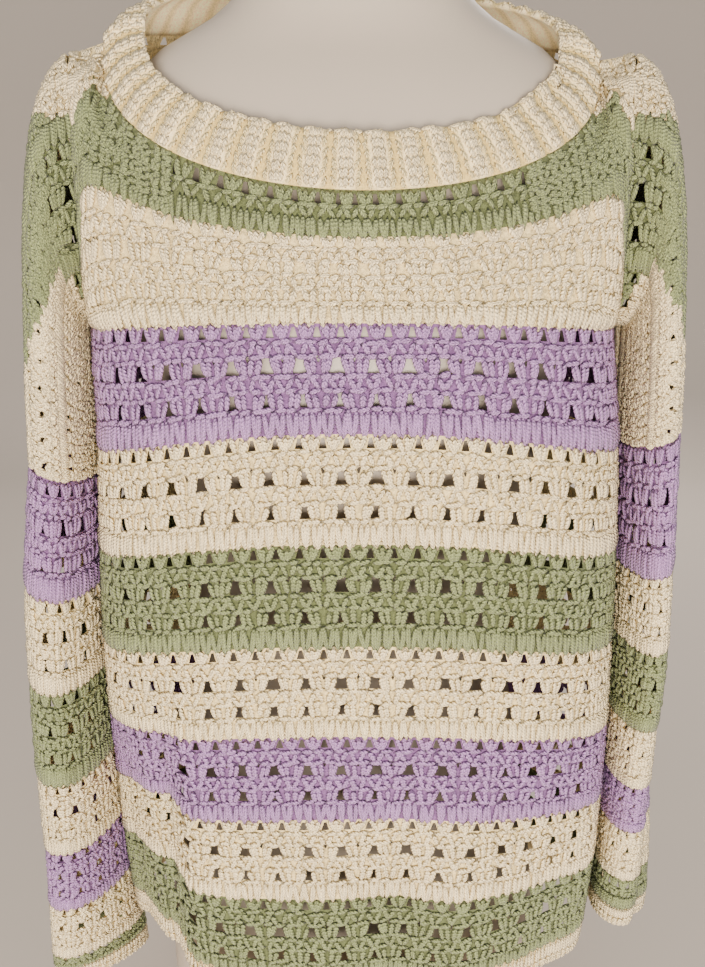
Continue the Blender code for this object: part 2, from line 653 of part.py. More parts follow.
def build_form(name, look):
    """The dress form: superellipse rings up the body, closed flat at its foot and neck."""
    z = np.linspace(FORM[0][0], FORM[-1][0], FORM_ROWS + 1)
    angle = np.linspace(0, 2 * np.pi, FORM_COLUMNS, endpoint=False)
    grid_angle, grid_z = np.meshgrid(angle, z)
    value = {name_: form_column(name_, grid_z) for name_ in FORM_COLUMNS_NAMED[1:]}
    out, rear = np.cos(grid_angle), np.sin(grid_angle)
    bend = 2 / value["power"]
    x = value["half_width"] * np.sign(out) * np.abs(out) ** bend
    y = value["centre_y"] + value["half_depth"] * np.sign(rear) * np.abs(rear) ** bend
    points = np.stack([x, y, grid_z], axis=-1).reshape(-1, 3)
    count = FORM_COLUMNS
    faces = []
    for row in range(FORM_ROWS):
        for col in range(count):
            near, far = row * count + col, row * count + (col + 1) % count
            faces.append((near, far, far + count, near + count))
    faces.append(tuple(reversed(range(count))))
    faces.append(tuple(range(FORM_ROWS * count, (FORM_ROWS + 1) * count)))
    return solid(name, points, faces, look)


def main():
    clear_scene()
    cream, green = finish("cream_yarn", CREAM), finish("green_yarn", GREEN)
    lilac, white = finish("lilac_yarn", LILAC), finish("form_white", FORM_WHITE)
    build_panel("front_panel", False, green)
    build_panel("back_panel", True, cream)
    for side in SIDES:
        build_sleeve(f"sleeve_{side}", side, 0, CUFF_SECTION, SLEEVE_ROWS, lilac)
        build_sleeve(f"cuff_{side}", side, CUFF_SECTION, -1, 1, cream)
    build_neckband("neckband", cream)
    build_hem("hem_band", cream)
    build_form("dress_form", white)


main()
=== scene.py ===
from collections import namedtuple

import bpy
import numpy as np
from bpy.props import FloatProperty, FloatVectorProperty, IntProperty, PointerProperty
from bpy.types import Operator, Panel, PropertyGroup
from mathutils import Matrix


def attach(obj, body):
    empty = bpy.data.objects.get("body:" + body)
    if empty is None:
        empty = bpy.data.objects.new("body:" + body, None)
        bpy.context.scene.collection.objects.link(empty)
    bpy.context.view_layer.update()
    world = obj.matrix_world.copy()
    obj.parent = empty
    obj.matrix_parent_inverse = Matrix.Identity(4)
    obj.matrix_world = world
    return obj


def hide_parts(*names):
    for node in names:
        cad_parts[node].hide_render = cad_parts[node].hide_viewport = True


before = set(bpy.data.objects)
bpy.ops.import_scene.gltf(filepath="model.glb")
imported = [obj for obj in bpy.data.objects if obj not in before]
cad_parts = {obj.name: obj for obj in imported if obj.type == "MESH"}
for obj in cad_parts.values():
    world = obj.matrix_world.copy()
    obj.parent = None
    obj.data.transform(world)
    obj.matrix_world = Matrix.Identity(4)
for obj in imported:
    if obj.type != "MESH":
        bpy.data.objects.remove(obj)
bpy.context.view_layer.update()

bl_info = {
    "name": "Striped crochet sweater on a dress form",
    "version": (1, 0, 0),
    "blender": (4, 5, 0),
    "location": "3D View > Sidebar > Sweater",
    "description": "Works the openwork panels, sleeves and ribbed edgings, stitch by stitch",
    "category": "Object",
}

MM = 0.001

# The cloth's surface, from the same sizes as the part's own solids
WALL = 0.0030
SEAM_Y = -0.004
REST_GAP = 0.0004
REST_FROM_Z = 0.73       # the cloth rests on the form only above this height
CHEST_Z = 0.72
HALVINGS = 14
BODY_SHIFT = 0.004
CHEST_POWER = 2.35
FRONT_LIFT_POWER = 2.5
RIB_COUNT = 48
RIB_HEIGHT_MM = 2.5
RIB_REACH = 0.0029       # from a rib's middle to its outer stitches, in turns of the neckband
LINING = 0.0002          # the inside face of a band, above the solid's own
NECK_SHIFT = -0.004
NECK_LEAN = 0.006
NECK_RISE_POWER = 0.8
NECK_SHARE = 0.8         # the part of a panel's top edge that lies along the neckband
SHOULDER_X = 0.191
SHOULDER_SWELL = 0.011
CHEST_TURN = 0.35
CHEST_RUN = 0.70
CORNER_SHARE = 0.25
CORNER_POWER = 8
SWELL_FLATNESS = 0.6
SWELL_END = 6
CREASE_POWER = 2.5
ARMPIT_X = 0.190
ARCH = 0.12
ARCH_POWER = 24
ARMPIT_LEVEL = 2.0
HEM_LEVEL = 9.0
HEM_END = 10.0
STEP_X = -0.116
STEP_RUN = 0.028
STEP_DEPTH = 0.036
STEP_START = 4.9
STEP_FULL = 7.4
STEP_ROOM = 0.05         # the step fades within this distance of the side seam
FOLD_FADE = 0.12         # and the folds within this share of the panel's half width

FORM_NAMES = ("z", "half_width", "centre_y", "half_depth", "power")
FORM = (
    (0.000, 0.146, 0.005, 0.102, 2.2),
    (0.100, 0.156, 0.008, 0.108, 2.2),
    (0.200, 0.150, 0.008, 0.103, 2.2),
    (0.300, 0.134, 0.004, 0.093, 2.2),
    (0.400, 0.122, 0.000, 0.088, 2.2),
    (0.500, 0.132, -0.006, 0.100, 2.2),
    (0.580, 0.146, -0.012, 0.110, 2.3),
    (0.630, 0.152, -0.012, 0.111, 2.4),
    (0.690, 0.155, -0.002, 0.101, 2.4),
    (0.740, 0.159, 0.004, 0.092, 2.4),
    (0.780, 0.159, 0.012, 0.0857, 2.5),
    (0.805, 0.153, 0.016, 0.078, 2.5),
    (0.825, 0.136, 0.017, 0.068, 2.4),
    (0.845, 0.100, 0.014, 0.060, 2.2),
    (0.862, 0.080, 0.010, 0.056, 2.1),
    (0.880, 0.070, 0.006, 0.054, 2.0),
    (0.910, 0.060, 0.004, 0.052, 2.0),
    (0.950, 0.057, 0.004, 0.050, 2.0),
    (0.960, 0.050, 0.004, 0.043, 2.0),
)

BODY_NAMES = ("level", "side_x", "side_z", "front_y", "front_z", "back_y", "back_z")
BODY = (
    (2.0, 0.185, 0.640, -0.1210, 0.649, 0.116, 0.650),
    (3.0, 0.190, 0.552, -0.1275, 0.580, 0.117, 0.574),
    (4.0, 0.194, 0.474, -0.1240, 0.505, 0.114, 0.500),
    (5.0, 0.196, 0.400, -0.1210, 0.431, 0.112, 0.428),
    (6.0, 0.197, 0.330, -0.1190, 0.362, 0.114, 0.358),
    (7.0, 0.196, 0.270, -0.1180, 0.295, 0.118, 0.290),
    (8.0, 0.194, 0.216, -0.1180, 0.228, 0.120, 0.224),
    (9.0, 0.189, 0.160, -0.1170, 0.160, 0.120, 0.158),
    (10.0, 0.187, 0.139, -0.1160, 0.138, 0.119, 0.137),
)

ARM_NAMES = ("along", "outer", "outer_z", "inner", "inner_z", "front", "back", "pinch")
ARM = (
    (0.00, 0.12, 0.820, 0.00, 0.640, 0.050, 0.058, 0.0090),
    (0.10, 0.33, 0.808, 0.90, 0.637, 0.065, 0.070, 0.0020),
    (0.25, 0.56, 0.778, 1.00, 0.624, 0.070, 0.074, 0.0000),
    (0.42, 0.74, 0.727, 1.00, 0.606, 0.072, 0.075, 0.0000),
    (0.60, 0.85, 0.668, 1.00, 0.582, 0.0725, 0.075, 0.0000),
    (0.80, 0.95, 0.606, 1.00, 0.555, 0.0730, 0.075, 0.0000),
    (1.00, 1.00, 0.549, 1.00, 0.527, 0.0735, 0.075, 0.0000),
)
SIDES = {
    "left": {"sign": -1.0, "inner_x": 0.1945, "outer_x": 0.2325, "raise": 0.000},
    "right": {"sign": 1.0, "inner_x": 0.2026, "outer_x": 0.2320, "raise": 0.025},
}

SLEEVE_NAMES = (
    "z", "x", "half_width", "half_front", "half_back", "twist", "outer_rise", "front_rise",
)
SLEEVES = {
    "left": (
        (0.5380, 0.2135, 0.0190, 0.0735, 0.0750, 0.0, 0.011, 0.000),
        (0.4500, 0.2218, 0.0228, 0.0725, 0.0725, 0.0, 0.008, 0.000),
        (0.3600, 0.2253, 0.0238, 0.0700, 0.0700, 0.0, 0.004, 0.000),
        (0.2700, 0.2257, 0.0252, 0.0670, 0.0670, 2.0, 0.002, 0.003),
        (0.1900, 0.2240, 0.0262, 0.0640, 0.0640, 6.0, 0.000, 0.008),
        (0.1300, 0.2220, 0.0268, 0.0610, 0.0610, 11.0, -0.003, 0.016),
        (0.1000, 0.2195, 0.0262, 0.0590, 0.0590, 16.0, -0.006, 0.020),
        (0.0860, 0.2180, 0.0258, 0.0580, 0.0580, 18.0, -0.006, 0.021),
    ),
    "right": (
        (0.5630, 0.2173, 0.0147, 0.0735, 0.0750, 0.0, 0.011, 0.000),
        (0.4700, 0.2205, 0.0142, 0.0730, 0.0730, 0.0, 0.006, 0.000),
        (0.3900, 0.2224, 0.0140, 0.0720, 0.0720, 0.0, 0.003, 0.000),
        (0.3300, 0.2228, 0.0140, 0.0700, 0.0700, 3.0, 0.001, 0.004),
        (0.2700, 0.2255, 0.0160, 0.0680, 0.0680, 8.0, 0.000, 0.010),
        (0.2100, 0.2290, 0.0185, 0.0650, 0.0650, 13.0, -0.002, 0.016),
        (0.1600, 0.2290, 0.0200, 0.0630, 0.0630, 16.0, -0.003, 0.020),
        (0.1440, 0.2285, 0.0200, 0.0620, 0.0620, 17.0, -0.003, 0.020),
    ),
}

# Folds of the body: where round it, the level where each starts and is full, height, width
FRONT_FOLDS = (
    (-0.57, 4.6, 8.0, 0.0070, 0.070),
    (-0.30, 5.0, 9.0, 0.0030, 0.110),
    (0.06, 6.0, 8.5, -0.0065, 0.075),
    (0.22, 5.6, 8.5, 0.0045, 0.100),
    (0.52, 5.5, 8.8, -0.0040, 0.090),
    (0.74, 5.0, 8.6, 0.0050, 0.090),
)
BACK_FOLDS = (
    (-0.70, 4.8, 8.4, 0.0060, 0.100),
    (-0.42, 5.4, 8.6, -0.0060, 0.080),
    (-0.12, 5.0, 8.8, 0.0050, 0.110),
    (0.20, 5.8, 8.6, -0.0060, 0.085),
    (0.48, 5.2, 8.4, 0.0060, 0.090),
    (0.76, 5.5, 8.8, -0.0040, 0.080),
)
# Dents along the sleeves: angle, the heights where each starts and is full, depth, width
DENTS = {
    "left": ((-48.0, 0.34, 0.20, 0.0045, 22.0), (118.0, 0.40, 0.25, 0.0050, 24.0)),
    "right": ((-38.0, 0.33, 0.22, 0.0060, 20.0), (150.0, 0.36, 0.24, 0.0050, 24.0)),
}

NECK_NAMES = ("across", "half_width", "front_y", "back_y", "front_z", "side_z", "back_z")
NECK = (
    (0.0, 0.142, -0.0880, 0.083, 0.764, 0.836, 0.880),
    (0.5, 0.157, -0.0955, 0.096, 0.747, 0.834, 0.868),
    (1.0, 0.169, -0.1010, 0.106, 0.729, 0.823, 0.848),
)

# The stripes. Body bands go by level; the yoke's go by the share of its height
CREAM, GREEN, LILAC = 0, 1, 2
YARNS = ("cream", "green", "lilac")
BODY_BANDS = (LILAC, CREAM, GREEN, CREAM, LILAC, CREAM, GREEN)
FRONT_YOKE = (GREEN, CREAM)
BACK_YOKE = (CREAM, GREEN, CREAM)
# Where the front's green band ends on an upper arm: stations along it, share round it
ARM_GREEN_EDGE = ((0.0, 0.08, 0.25, 0.42, 0.55, 0.68, 0.85, 0.93),
                  (0.88, 0.70, 0.61, 0.56, 0.47, 0.36, 0.22, 0.0))
# The back's cream top band shows over the shoulder: stations, share round the arm's front
ARM_CREAM_EDGE = {
    "left": ((0.0, 0.10, 0.18, 0.30), (0.34, 0.29, 0.21, 0.0)),
    "right": ((0.0, 0.10, 0.25, 0.45), (0.34, 0.30, 0.20, 0.0)),
}
# Sleeve bands: the height row where each ends, and its yarn
SLEEVE_BANDS = {
    "left": (
        (0.447, LILAC), (0.372, CREAM), (0.292, GREEN), (0.227, CREAM),
        (0.170, LILAC), (0.113, CREAM), (0.100, GREEN),
    ),
    "right": (
        (0.464, LILAC), (0.405, CREAM), (0.338, GREEN), (0.284, CREAM),
        (0.240, LILAC), (0.190, CREAM), (0.160, GREEN),
    ),
}


def column(table, names, name, at):
    """Reads one column of a table at any place: cubic Hermite pieces with the mean of the
    neighbouring slopes at each row, held flat where the column turns."""
    rows = np.array(table, dtype=float)
    x, y = rows[:, 0], rows[:, names.index(name)]
    if x[0] > x[-1]:
        x, y = x[::-1], y[::-1]
    step = np.diff(x)
    slope = np.diff(y) / step
    tangent = np.concatenate([[slope[0]], (slope[:-1] + slope[1:]) / 2, [slope[-1]]])
    tangent[1:-1][slope[:-1] * slope[1:] <= 0] = 0.0
    at = np.clip(np.asarray(at, dtype=float), x[0], x[-1])
    i = np.clip(np.searchsorted(x, at, side="right") - 1, 0, len(x) - 2)
    t = (at - x[i]) / step[i]
    start = (1 + 2 * t) * (1 - t) ** 2 * y[i] + t * (1 - t) ** 2 * step[i] * tangent[i]
    end = t**2 * (3 - 2 * t) * y[i + 1] + t**2 * (t - 1) * step[i] * tangent[i + 1]
    return start + end


def columns(table, names, at):
    """All the columns of a table but its first, in order, read at one place."""
    return [column(table, names, name, at) for name in names[1:]]


def ease(value):
    """3t^2 - 2t^3 with t clipped to 0 and 1."""
    value = np.clip(value, 0.0, 1.0)
    return value * value * (3 - 2 * value)


def form_point(angle, z):
    """The form: superellipse rings, |x/a|^p + |(y-c)/b|^p = 1, their sizes read up z."""
    half_width, centre_y, half_depth, power = columns(FORM, FORM_NAMES, z)
    out, rear = np.cos(angle), np.sin(angle)
    x = half_width * np.sign(out) * np.abs(out) ** (2 / power)
    y = centre_y + half_depth * np.sign(rear) * np.abs(rear) ** (2 / power)
    return np.stack([x, y, z + 0 * x], axis=-1)


def rest_on_form(points):
    """Lifts points above the chest to the form's own height there, found by halving z
    until the form's ring passes through the point's x and y."""
    x, y, z = points[..., 0], points[..., 1], points[..., 2]
    low, high = np.full(np.shape(x), CHEST_Z), np.full(np.shape(x), FORM[-1][0])
    for _ in range(HALVINGS):
        middle = (low + high) / 2
        half_width, centre_y, half_depth, power = columns(FORM, FORM_NAMES, middle)
        away = np.abs(x / (half_width + REST_GAP)) ** power
        away = away + np.abs((y - centre_y) / (half_depth + REST_GAP)) ** power
        low, high = np.where(away < 1, middle, low), np.where(away < 1, high, middle)
    lifted = points.copy()
    lifted[..., 2] = np.where(z > REST_FROM_Z, np.maximum(z, low + REST_GAP), z)
    return lifted


def neck_point(angle, across):
    """The neckband: an ellipse in a plane sloping down to the front, growing from its inner
    (across 0) to its outer edge (1), and resting on the form. Angle 0 is the front."""
    half_width, front_y, back_y, front_z, side_z, back_z = columns(NECK, NECK_NAMES, across)
    turn, forward = np.sin(angle), np.cos(angle)
    reach = np.where(forward > 0, front_y - SEAM_Y, SEAM_Y - back_y)
    end_z = np.where(forward > 0, front_z, back_z)
    x = NECK_SHIFT * forward**2 + half_width * turn
    rise = np.abs(forward) ** NECK_RISE_POWER
    z = side_z + (end_z - side_z) * rise - NECK_LEAN * turn
    return rest_on_form(np.stack([x, SEAM_Y + reach * forward, z], axis=-1))


def arm_point(side, back, along, around):
    """The upper arm: half an ellipse from the shoulder seam (around 0) to the underarm seam
    (1), carried from the shoulder point (along 0) to the armhole (1)."""
    arm = SIDES[side]
    outer, outer_z, inner, inner_z, front_depth, back_depth, pinch = columns(ARM, ARM_NAMES, along)
    outer_x = SHOULDER_X + (arm["outer_x"] - SHOULDER_X) * outer
    inner_x = ARMPIT_X + (arm["inner_x"] - ARMPIT_X) * inner
    share = (1 - np.cos(np.pi * around)) / 2
    bulge = np.sin(np.pi * around)
    x = outer_x + (inner_x - outer_x) * share - pinch * bulge
    y = SEAM_Y + (back_depth if back else -front_depth) * bulge
    z = outer_z + (inner_z - outer_z) * share
    return np.stack([arm["sign"] * x, y, z + arm["raise"] * along], axis=-1)


def top_edge(across, back):
    """A panel's top edge: round the neckband, then straight to the shoulder point."""
    inner = np.clip(np.abs(across) / NECK_SHARE, 0.0, 1.0) * np.pi / 2
    angle = np.where(across < 0, -1.0, 1.0) * (np.pi - inner if back else inner)
    on_neck = neck_point(angle, 1.0)
    corner = neck_point(np.where(across < 0, -np.pi / 2, np.pi / 2), 1.0)
    zero = np.zeros(np.shape(across))
    left, right = (arm_point(side, back, zero, zero) for side in SIDES)
    point = np.where((across < 0)[..., None], left, right)
    out = np.clip((np.abs(across) - NECK_SHARE) / (1 - NECK_SHARE), 0, 1)
    on_seam = corner + (point - corner) * out[..., None]
    return np.where((np.abs(across) > NECK_SHARE)[..., None], on_seam, on_neck)


def body_ring(across, level, back):
    """A ring round the body: half a superellipse from side seam to side seam, climbing to
    its middle, its ends spread into the underarm's arch."""
    side_x, side_z, front_y, front_z, back_y, back_z = columns(BODY, BODY_NAMES, level)
    arch = np.exp(-(level - ARMPIT_LEVEL) / ARCH) * np.abs(across) ** ARCH_POWER
    side_x = side_x + (ARMPIT_X - BODY[0][1]) * arch
    shift = BODY_SHIFT * ease(level - ARMPIT_LEVEL)
    angle = np.abs(across) * np.pi / 2
    forward = np.clip(np.cos(angle), 0, 1)
    wide, deep = np.sin(angle) ** (2 / CHEST_POWER), forward ** (2 / CHEST_POWER)
    x = (np.sign(across) * side_x + shift) * wide + shift * (1 - wide)
    y = SEAM_Y + ((back_y if back else front_y) - SEAM_Y) * deep
    z = side_z + ((back_z if back else front_z) - side_z) * forward**FRONT_LIFT_POWER
    return np.stack([x, y, z], axis=-1)


def yoke(across, share, back):
    """The chest or upper back: straight lines from the top edge to the armpit's ring, bent
    towards the crease beside the upper arm and spread beside the neckband."""
    top = top_edge(across, back)
    ring = body_ring(across, np.full(np.shape(across), ARMPIT_LEVEL), back)
    points = top + (ring - top) * share[..., None]
    zero = np.zeros(np.shape(across))
    for side, arm in SIDES.items():
        start, end = arm_point(side, back, zero, zero), arm_point(side, back, zero, zero + 1)
        bend = arm_point(side, back, zero, share) - (start + (end - start) * share[..., None])
        here = across * arm["sign"] > 0
        settle = 1 - (1 - np.abs(across) ** CORNER_POWER) * (1 - ease(share / CORNER_SHARE))
        forward = ease((np.abs(across) - CHEST_TURN) / CHEST_RUN) * settle
        inward = np.abs(across) ** CREASE_POWER * settle
        points[..., 0] += bend[..., 0] * np.where(here, inward, 0.0)
        points[..., 1] += bend[..., 1] * np.where(here, forward, 0.0)
        points[..., 2] += bend[..., 2] * np.where(here, forward, 0.0)
    beside = 4 * across**2 * (1 - across**2) * (1 - across**SWELL_END)
    swell = np.sin(np.pi * np.clip(share, 0, 1)) ** SWELL_FLATNESS * beside
    points[..., 0] += SHOULDER_SWELL * np.sign(across) * swell
    return points


def folds(points, across, level, back):
    """Gaussian ridges and troughs that grow towards the hem, and the deep fold at the lower
    left of the front, where the cloth steps back."""
    moved = points.copy()
    edge = np.clip((1 - np.abs(across)) / FOLD_FADE, 0, 1)
    for around, start, full, height, width in BACK_FOLDS if back else FRONT_FOLDS:
        grow = ease((level - start) / (full - start)) * edge
        bump = height * grow * np.exp(-(((across - around) / width) ** 2))
        moved[..., 1] += bump if back else -bump
    if not back:
        grow = ease((level - STEP_START) / (STEP_FULL - STEP_START))
        past = ease((STEP_X - points[..., 0]) / STEP_RUN)
        room = np.clip((SEAM_Y - points[..., 1]) / STEP_ROOM, 0, 1)
        moved[..., 1] += STEP_DEPTH * grow * past * room
    return moved


def body_point(across, level, back):
    """The front or back from its top edge (level 0) down past the hem (10)."""
    upper = yoke(across, np.clip(level / ARMPIT_LEVEL, 0, 1), back)
    lower = body_ring(across, np.maximum(level, ARMPIT_LEVEL), back)
    points = np.where((level < ARMPIT_LEVEL)[..., None], upper, lower)
    return rest_on_form(folds(points, across, level, back))


def sleeve_point(side, z_row, angle):
    """A sleeve: ellipses down the arm, turned, tilted and dented. Angle 0 is its outer
    side, -90 degrees its front."""
    x, half_width, half_front, half_back, twist, outer_rise, front_rise = columns(
        SLEEVES[side], SLEEVE_NAMES, z_row)
    sign, out, rear = SIDES[side]["sign"], np.cos(angle), np.sin(angle)
    dent = 0.0
    for centre, start_z, full_z, deep, width in DENTS[side]:
        away = (angle - np.radians(centre) + np.pi) % (2 * np.pi) - np.pi
        grow = ease((start_z - z_row) / (start_z - full_z))
        dent = dent + deep * grow * np.exp(-((away / np.radians(width)) ** 2))
    local_x = sign * (half_width - dent) * out
    local_y = (np.where(rear < 0, half_front, half_back) - dent) * rear
    twist = np.radians(twist)
    x = sign * x + local_x * np.cos(twist) + local_y * np.sin(twist)
    y = SEAM_Y - local_x * np.sin(twist) + local_y * np.cos(twist)
    return np.stack([x, y, z_row + outer_rise * out - front_rise * rear], axis=-1)


def raised(surface, u, v, height, facing):
    """surface(u, v) moved by a height along its normal, the cross product of its two
    central differences, turned outwards by facing. Returns the points and the normals."""
    small = 1e-3
    du = surface(u + small, v) - surface(u - small, v)
    dv = surface(u, v + small) - surface(u, v - small)
    normal = unit(np.cross(dv, du) * facing)
    return surface(u, v) + normal * np.asarray(height)[..., None], normal


SPREAD_STEPS, SPREAD_LEVEL = 400, 5.0


def spread(back):
    """Even steps of length round the body at its fifth level, and across, -1 to 1, there."""
    across = np.linspace(-1, 1, SPREAD_STEPS)
    line = body_ring(across, np.full(SPREAD_STEPS, SPREAD_LEVEL), back)
    steps = np.linalg.norm(np.diff(line, axis=0), axis=1)
    length = np.concatenate([[0], np.cumsum(steps)])
    return length / length[-1], across


SPREAD = {back: spread(back) for back in (False, True)}
BACK_CUTS = (0.26, 0.63)
FRONT_CUT, FRONT_DROP, DROP_POWER = 0.35, 0.58, 5
BACK_CREAM_END, BACK_GREEN_DROP = 0.75, 0.25     # of the back's bands along an upper arm
ARM_CUTS = {False: (0.0, 0.38, 0.69, 1.0), True: (0.0,) + BACK_CUTS + (1.0,)}
# The back's cream top band rolls over the yoke: bands down, from where across, run
ROLL_BANDS, ROLL_START, ROLL_RUN = 0.42, 0.60, 0.22


def yoke_cuts(across, back):
    """The shares of the yoke's height where its bands meet: they fall towards the arms."""
    if back:
        return [cut + 0 * across for cut in BACK_CUTS]
    return [FRONT_CUT + FRONT_DROP * np.abs(across) ** DROP_POWER]


# A stretch of cloth with its own stitch grid. u counts repeats from its left edge, v counts
# bands from its top, place(u, v) gives the point of the cloth's inside, yarn(u, v) its yarn
Region = namedtuple("Region", "repeats bands kinds place yarn facing wraps", defaults=(False,))


def band_yarn(colours, v):
    """The yarn of each place from the list of the bands' yarns."""
    return np.array(colours)[np.clip(v.astype(int), 0, len(colours) - 1)]


def band_level(v, cuts):
    """Level from bands counted from the top: the yoke's bands end at their cuts, and each
    later band is one level."""
    edges = [0 * cuts[0]] + [ARMPIT_LEVEL * cut for cut in cuts] + [0 * cuts[0] + ARMPIT_LEVEL]
    yoke_bands = len(edges) - 1
    level = ARMPIT_LEVEL + (v - yoke_bands)
    for band in range(yoke_bands):
        inside = edges[band] + (edges[band + 1] - edges[band]) * (v - band)
        level = np.where((v < band + 1) & (v >= band if band else True), inside, level)
    return level


def body_region(back, repeats, first, last, top_kind):
    """The body of the front or the back between two of its repeats, from its top edge to
    the hem band. Its top band is short below the neckband and full beside it."""
    colours = (BACK_YOKE if back else FRONT_YOKE) + BODY_BANDS

    def place(u, v):
        across = np.interp((u + first) / repeats, *SPREAD[back])
        return body_point(across, band_level(v, yoke_cuts(across, back)), back)

    def yarn(u, v):
        across = np.abs(np.interp((u + first) / repeats, *SPREAD[back]))
        rolled = v < (0 if back else ROLL_BANDS) * ease((across - ROLL_START) / ROLL_RUN)
        return np.where(rolled, CREAM, band_yarn(colours, v))

    kinds = [top_kind, "full" if back else "closed"] + ["full"] * (len(colours) - 2)
    return Region(last - first, len(colours), kinds, place, yarn, -1.0 if back else 1.0)


def panel_regions(back, sizes):
    """All the stretches of the front or the back, from the left armhole to the right one."""
    count, side = sizes.body_repeats, sizes.side_repeats
    spans = ((0, side, "dense"), (side, count - side, "short"), (count - side, count, "dense"))
    body = [body_region(back, count, first, last, "full" if back else top_kind)
            for first, last, top_kind in spans]
    left, right = (arm_region(side, back, sizes.arm_repeats) for side in SIDES)
    return [left] + body + [right]


def arm_region(side, back, repeats):
    """The part of the front or back that goes over an upper arm."""
    cuts = ARM_CUTS[back]
    bands = len(cuts) - 1

    def along_arm(u):
        return 1 - u / repeats if side == "left" else u / repeats

    def place(u, v):
        along = np.clip(along_arm(u), -ARM_REACH, 1 + ARM_REACH)
        return arm_point(side, back, along, np.interp(v, range(bands + 1), cuts))

    def yarn(u, v):
        along, around = along_arm(u), np.interp(v, range(bands + 1), cuts)
        if back:
            first = BACK_CUTS[0] * (1 - along / BACK_CREAM_END)
            last = BACK_CUTS[1] - BACK_GREEN_DROP * along
        else:
            first = np.interp(along, *ARM_CREAM_EDGE[side])
            last = np.interp(along, *ARM_GREEN_EDGE)
        return np.where((around >= first) & (around < last), GREEN, CREAM)

    kinds = ["short" if back else "dense"] + ["full"] * (bands - 1)
    return Region(repeats, bands, kinds, place, yarn, -1.0 if back else 1.0)


def sleeve_region(side, repeats):
    """A sleeve from the armhole to its cuff, wound so that u runs to the right from outside."""
    edges = [SLEEVES[side][0][0]] + [row[0] for row in SLEEVE_BANDS[side]]
    colours = [row[1] for row in SLEEVE_BANDS[side]]
    turn = -1.0 if side == "left" else 1.0

    def place(u, v):
        z_row = np.interp(v, range(len(edges)), edges)
        return sleeve_point(side, z_row, turn * u / repeats * 2 * np.pi + np.pi)

    def yarn(u, v):
        return band_yarn(colours, v)

    kinds = ["full" if high - low > FULL_BAND else "short" for high, low in zip(edges, edges[1:])]
    return Region(repeats, len(colours), kinds, place, yarn, 1.0, wraps=True)


# Stitches of two repeats of a band, u in repeats and v in shares of the band's height. A
# strand is (start u, start v, end u, end v, bow sideways, lift, radius), the last two in mm
def fan(base_v, top_v, centres, reach, radius):
    """A cluster of three trebles that spread from one loop: an upturned triangle."""
    return [(centre + lean * 0.03, base_v, centre + lean * reach, top_v,
             0.0, 1.3 - 0.3 * abs(lean), radius) for centre in centres for lean in (-1, 0, 1)]


def chain(v, count, slant, radius):
    """A row of chain loops: short leaves that follow one another along the row."""
    step = 2 / count
    return [((k + 0.06) * step, v + slant, (k + 1.02) * step, v - slant,
             0.06 * (-1) ** k, 1.6, radius) for k in range(count)]


def knots(top_v, base_v, count, radius):
    """A dense row of loops that lean to and fro, so that each two meet in a point."""
    step = 2 / count
    return [((k + 0.5 - 0.36 * (-1) ** k) * step, base_v, (k + 0.5 + 0.36 * (-1) ** k) * step,
             top_v, 0.0, 1.5, radius) for k in range(count)]


def legs(base_v, top_v, base_u, top_u, radius):
    """V stitches over the whole repeats: on each side an outer and an inner leg, which
    leave the large hole between two stitches and a slot within one."""
    strands = [(middle + lean * base_u * share, base_v, middle + lean * top_u * (share + 0.08),
                top_v, lean * 0.015, 1.7, radius)
               for middle in (0.0, 1.0, 2.0) for lean in (-1, 1) for share in (1.0, 0.36)]
    return [strand for strand in strands if 0 <= strand[0] <= 2]


def posts(top_v, base_v, count, radius):
    """A closed row of upright posts: two strands each, meeting in a point."""
    step = 2 / count
    return [((k + 0.5 + lean * 0.30) * step, top_v, (k + 0.5 + lean * 0.06) * step, base_v,
             lean * 0.02, 1.8, radius) for k in range(count) for lean in (-1, 1)]


FAN_CENTRES = (1 / 3, 1.0, 5 / 3)
TILES = {
    "full": (
        fan(0.145, 0.005, FAN_CENTRES, 0.22, 1.75)
        + chain(0.16, 6, 0.008, 1.6)
        + knots(0.170, 0.285, 8, 1.7)
        + chain(0.295, 6, 0.010, 1.7)
        + legs(0.455, 0.300, 0.215, 0.320, 1.75)
        + chain(0.470, 6, 0.010, 1.7)
        + knots(0.475, 0.600, 8, 1.7)
        + chain(0.605, 6, 0.010, 1.7)
        + legs(0.760, 0.615, 0.270, 0.355, 1.8)
        + chain(0.775, 6, 0.010, 1.6)
        + posts(0.780, 1.025, 6, 1.9)
    ),
    "dense": (
        fan(0.100, 0.005, FAN_CENTRES, 0.22, 1.7)
        + chain(0.115, 6, 0.006, 1.6) + knots(0.125, 0.205, 7, 1.6)
        + chain(0.220, 6, 0.006, 1.6) + posts(0.225, 0.345, 6, 1.6)
        + chain(0.355, 6, 0.006, 1.6) + knots(0.365, 0.445, 7, 1.6)
        + chain(0.460, 6, 0.006, 1.6) + posts(0.465, 0.585, 6, 1.6)
        + chain(0.595, 6, 0.006, 1.6) + knots(0.605, 0.685, 7, 1.6)
        + chain(0.700, 6, 0.006, 1.6) + knots(0.710, 0.790, 7, 1.6)
        + chain(0.805, 6, 0.006, 1.6) + posts(0.810, 1.020, 6, 1.8)
    ),
    "short": (
        fan(0.340, 0.010, FAN_CENTRES, 0.22, 1.7)
        + chain(0.36, 6, 0.02, 1.6)
        + knots(0.38, 0.60, 7, 1.6)
        + posts(0.60, 1.04, 6, 1.7)
    ),
}

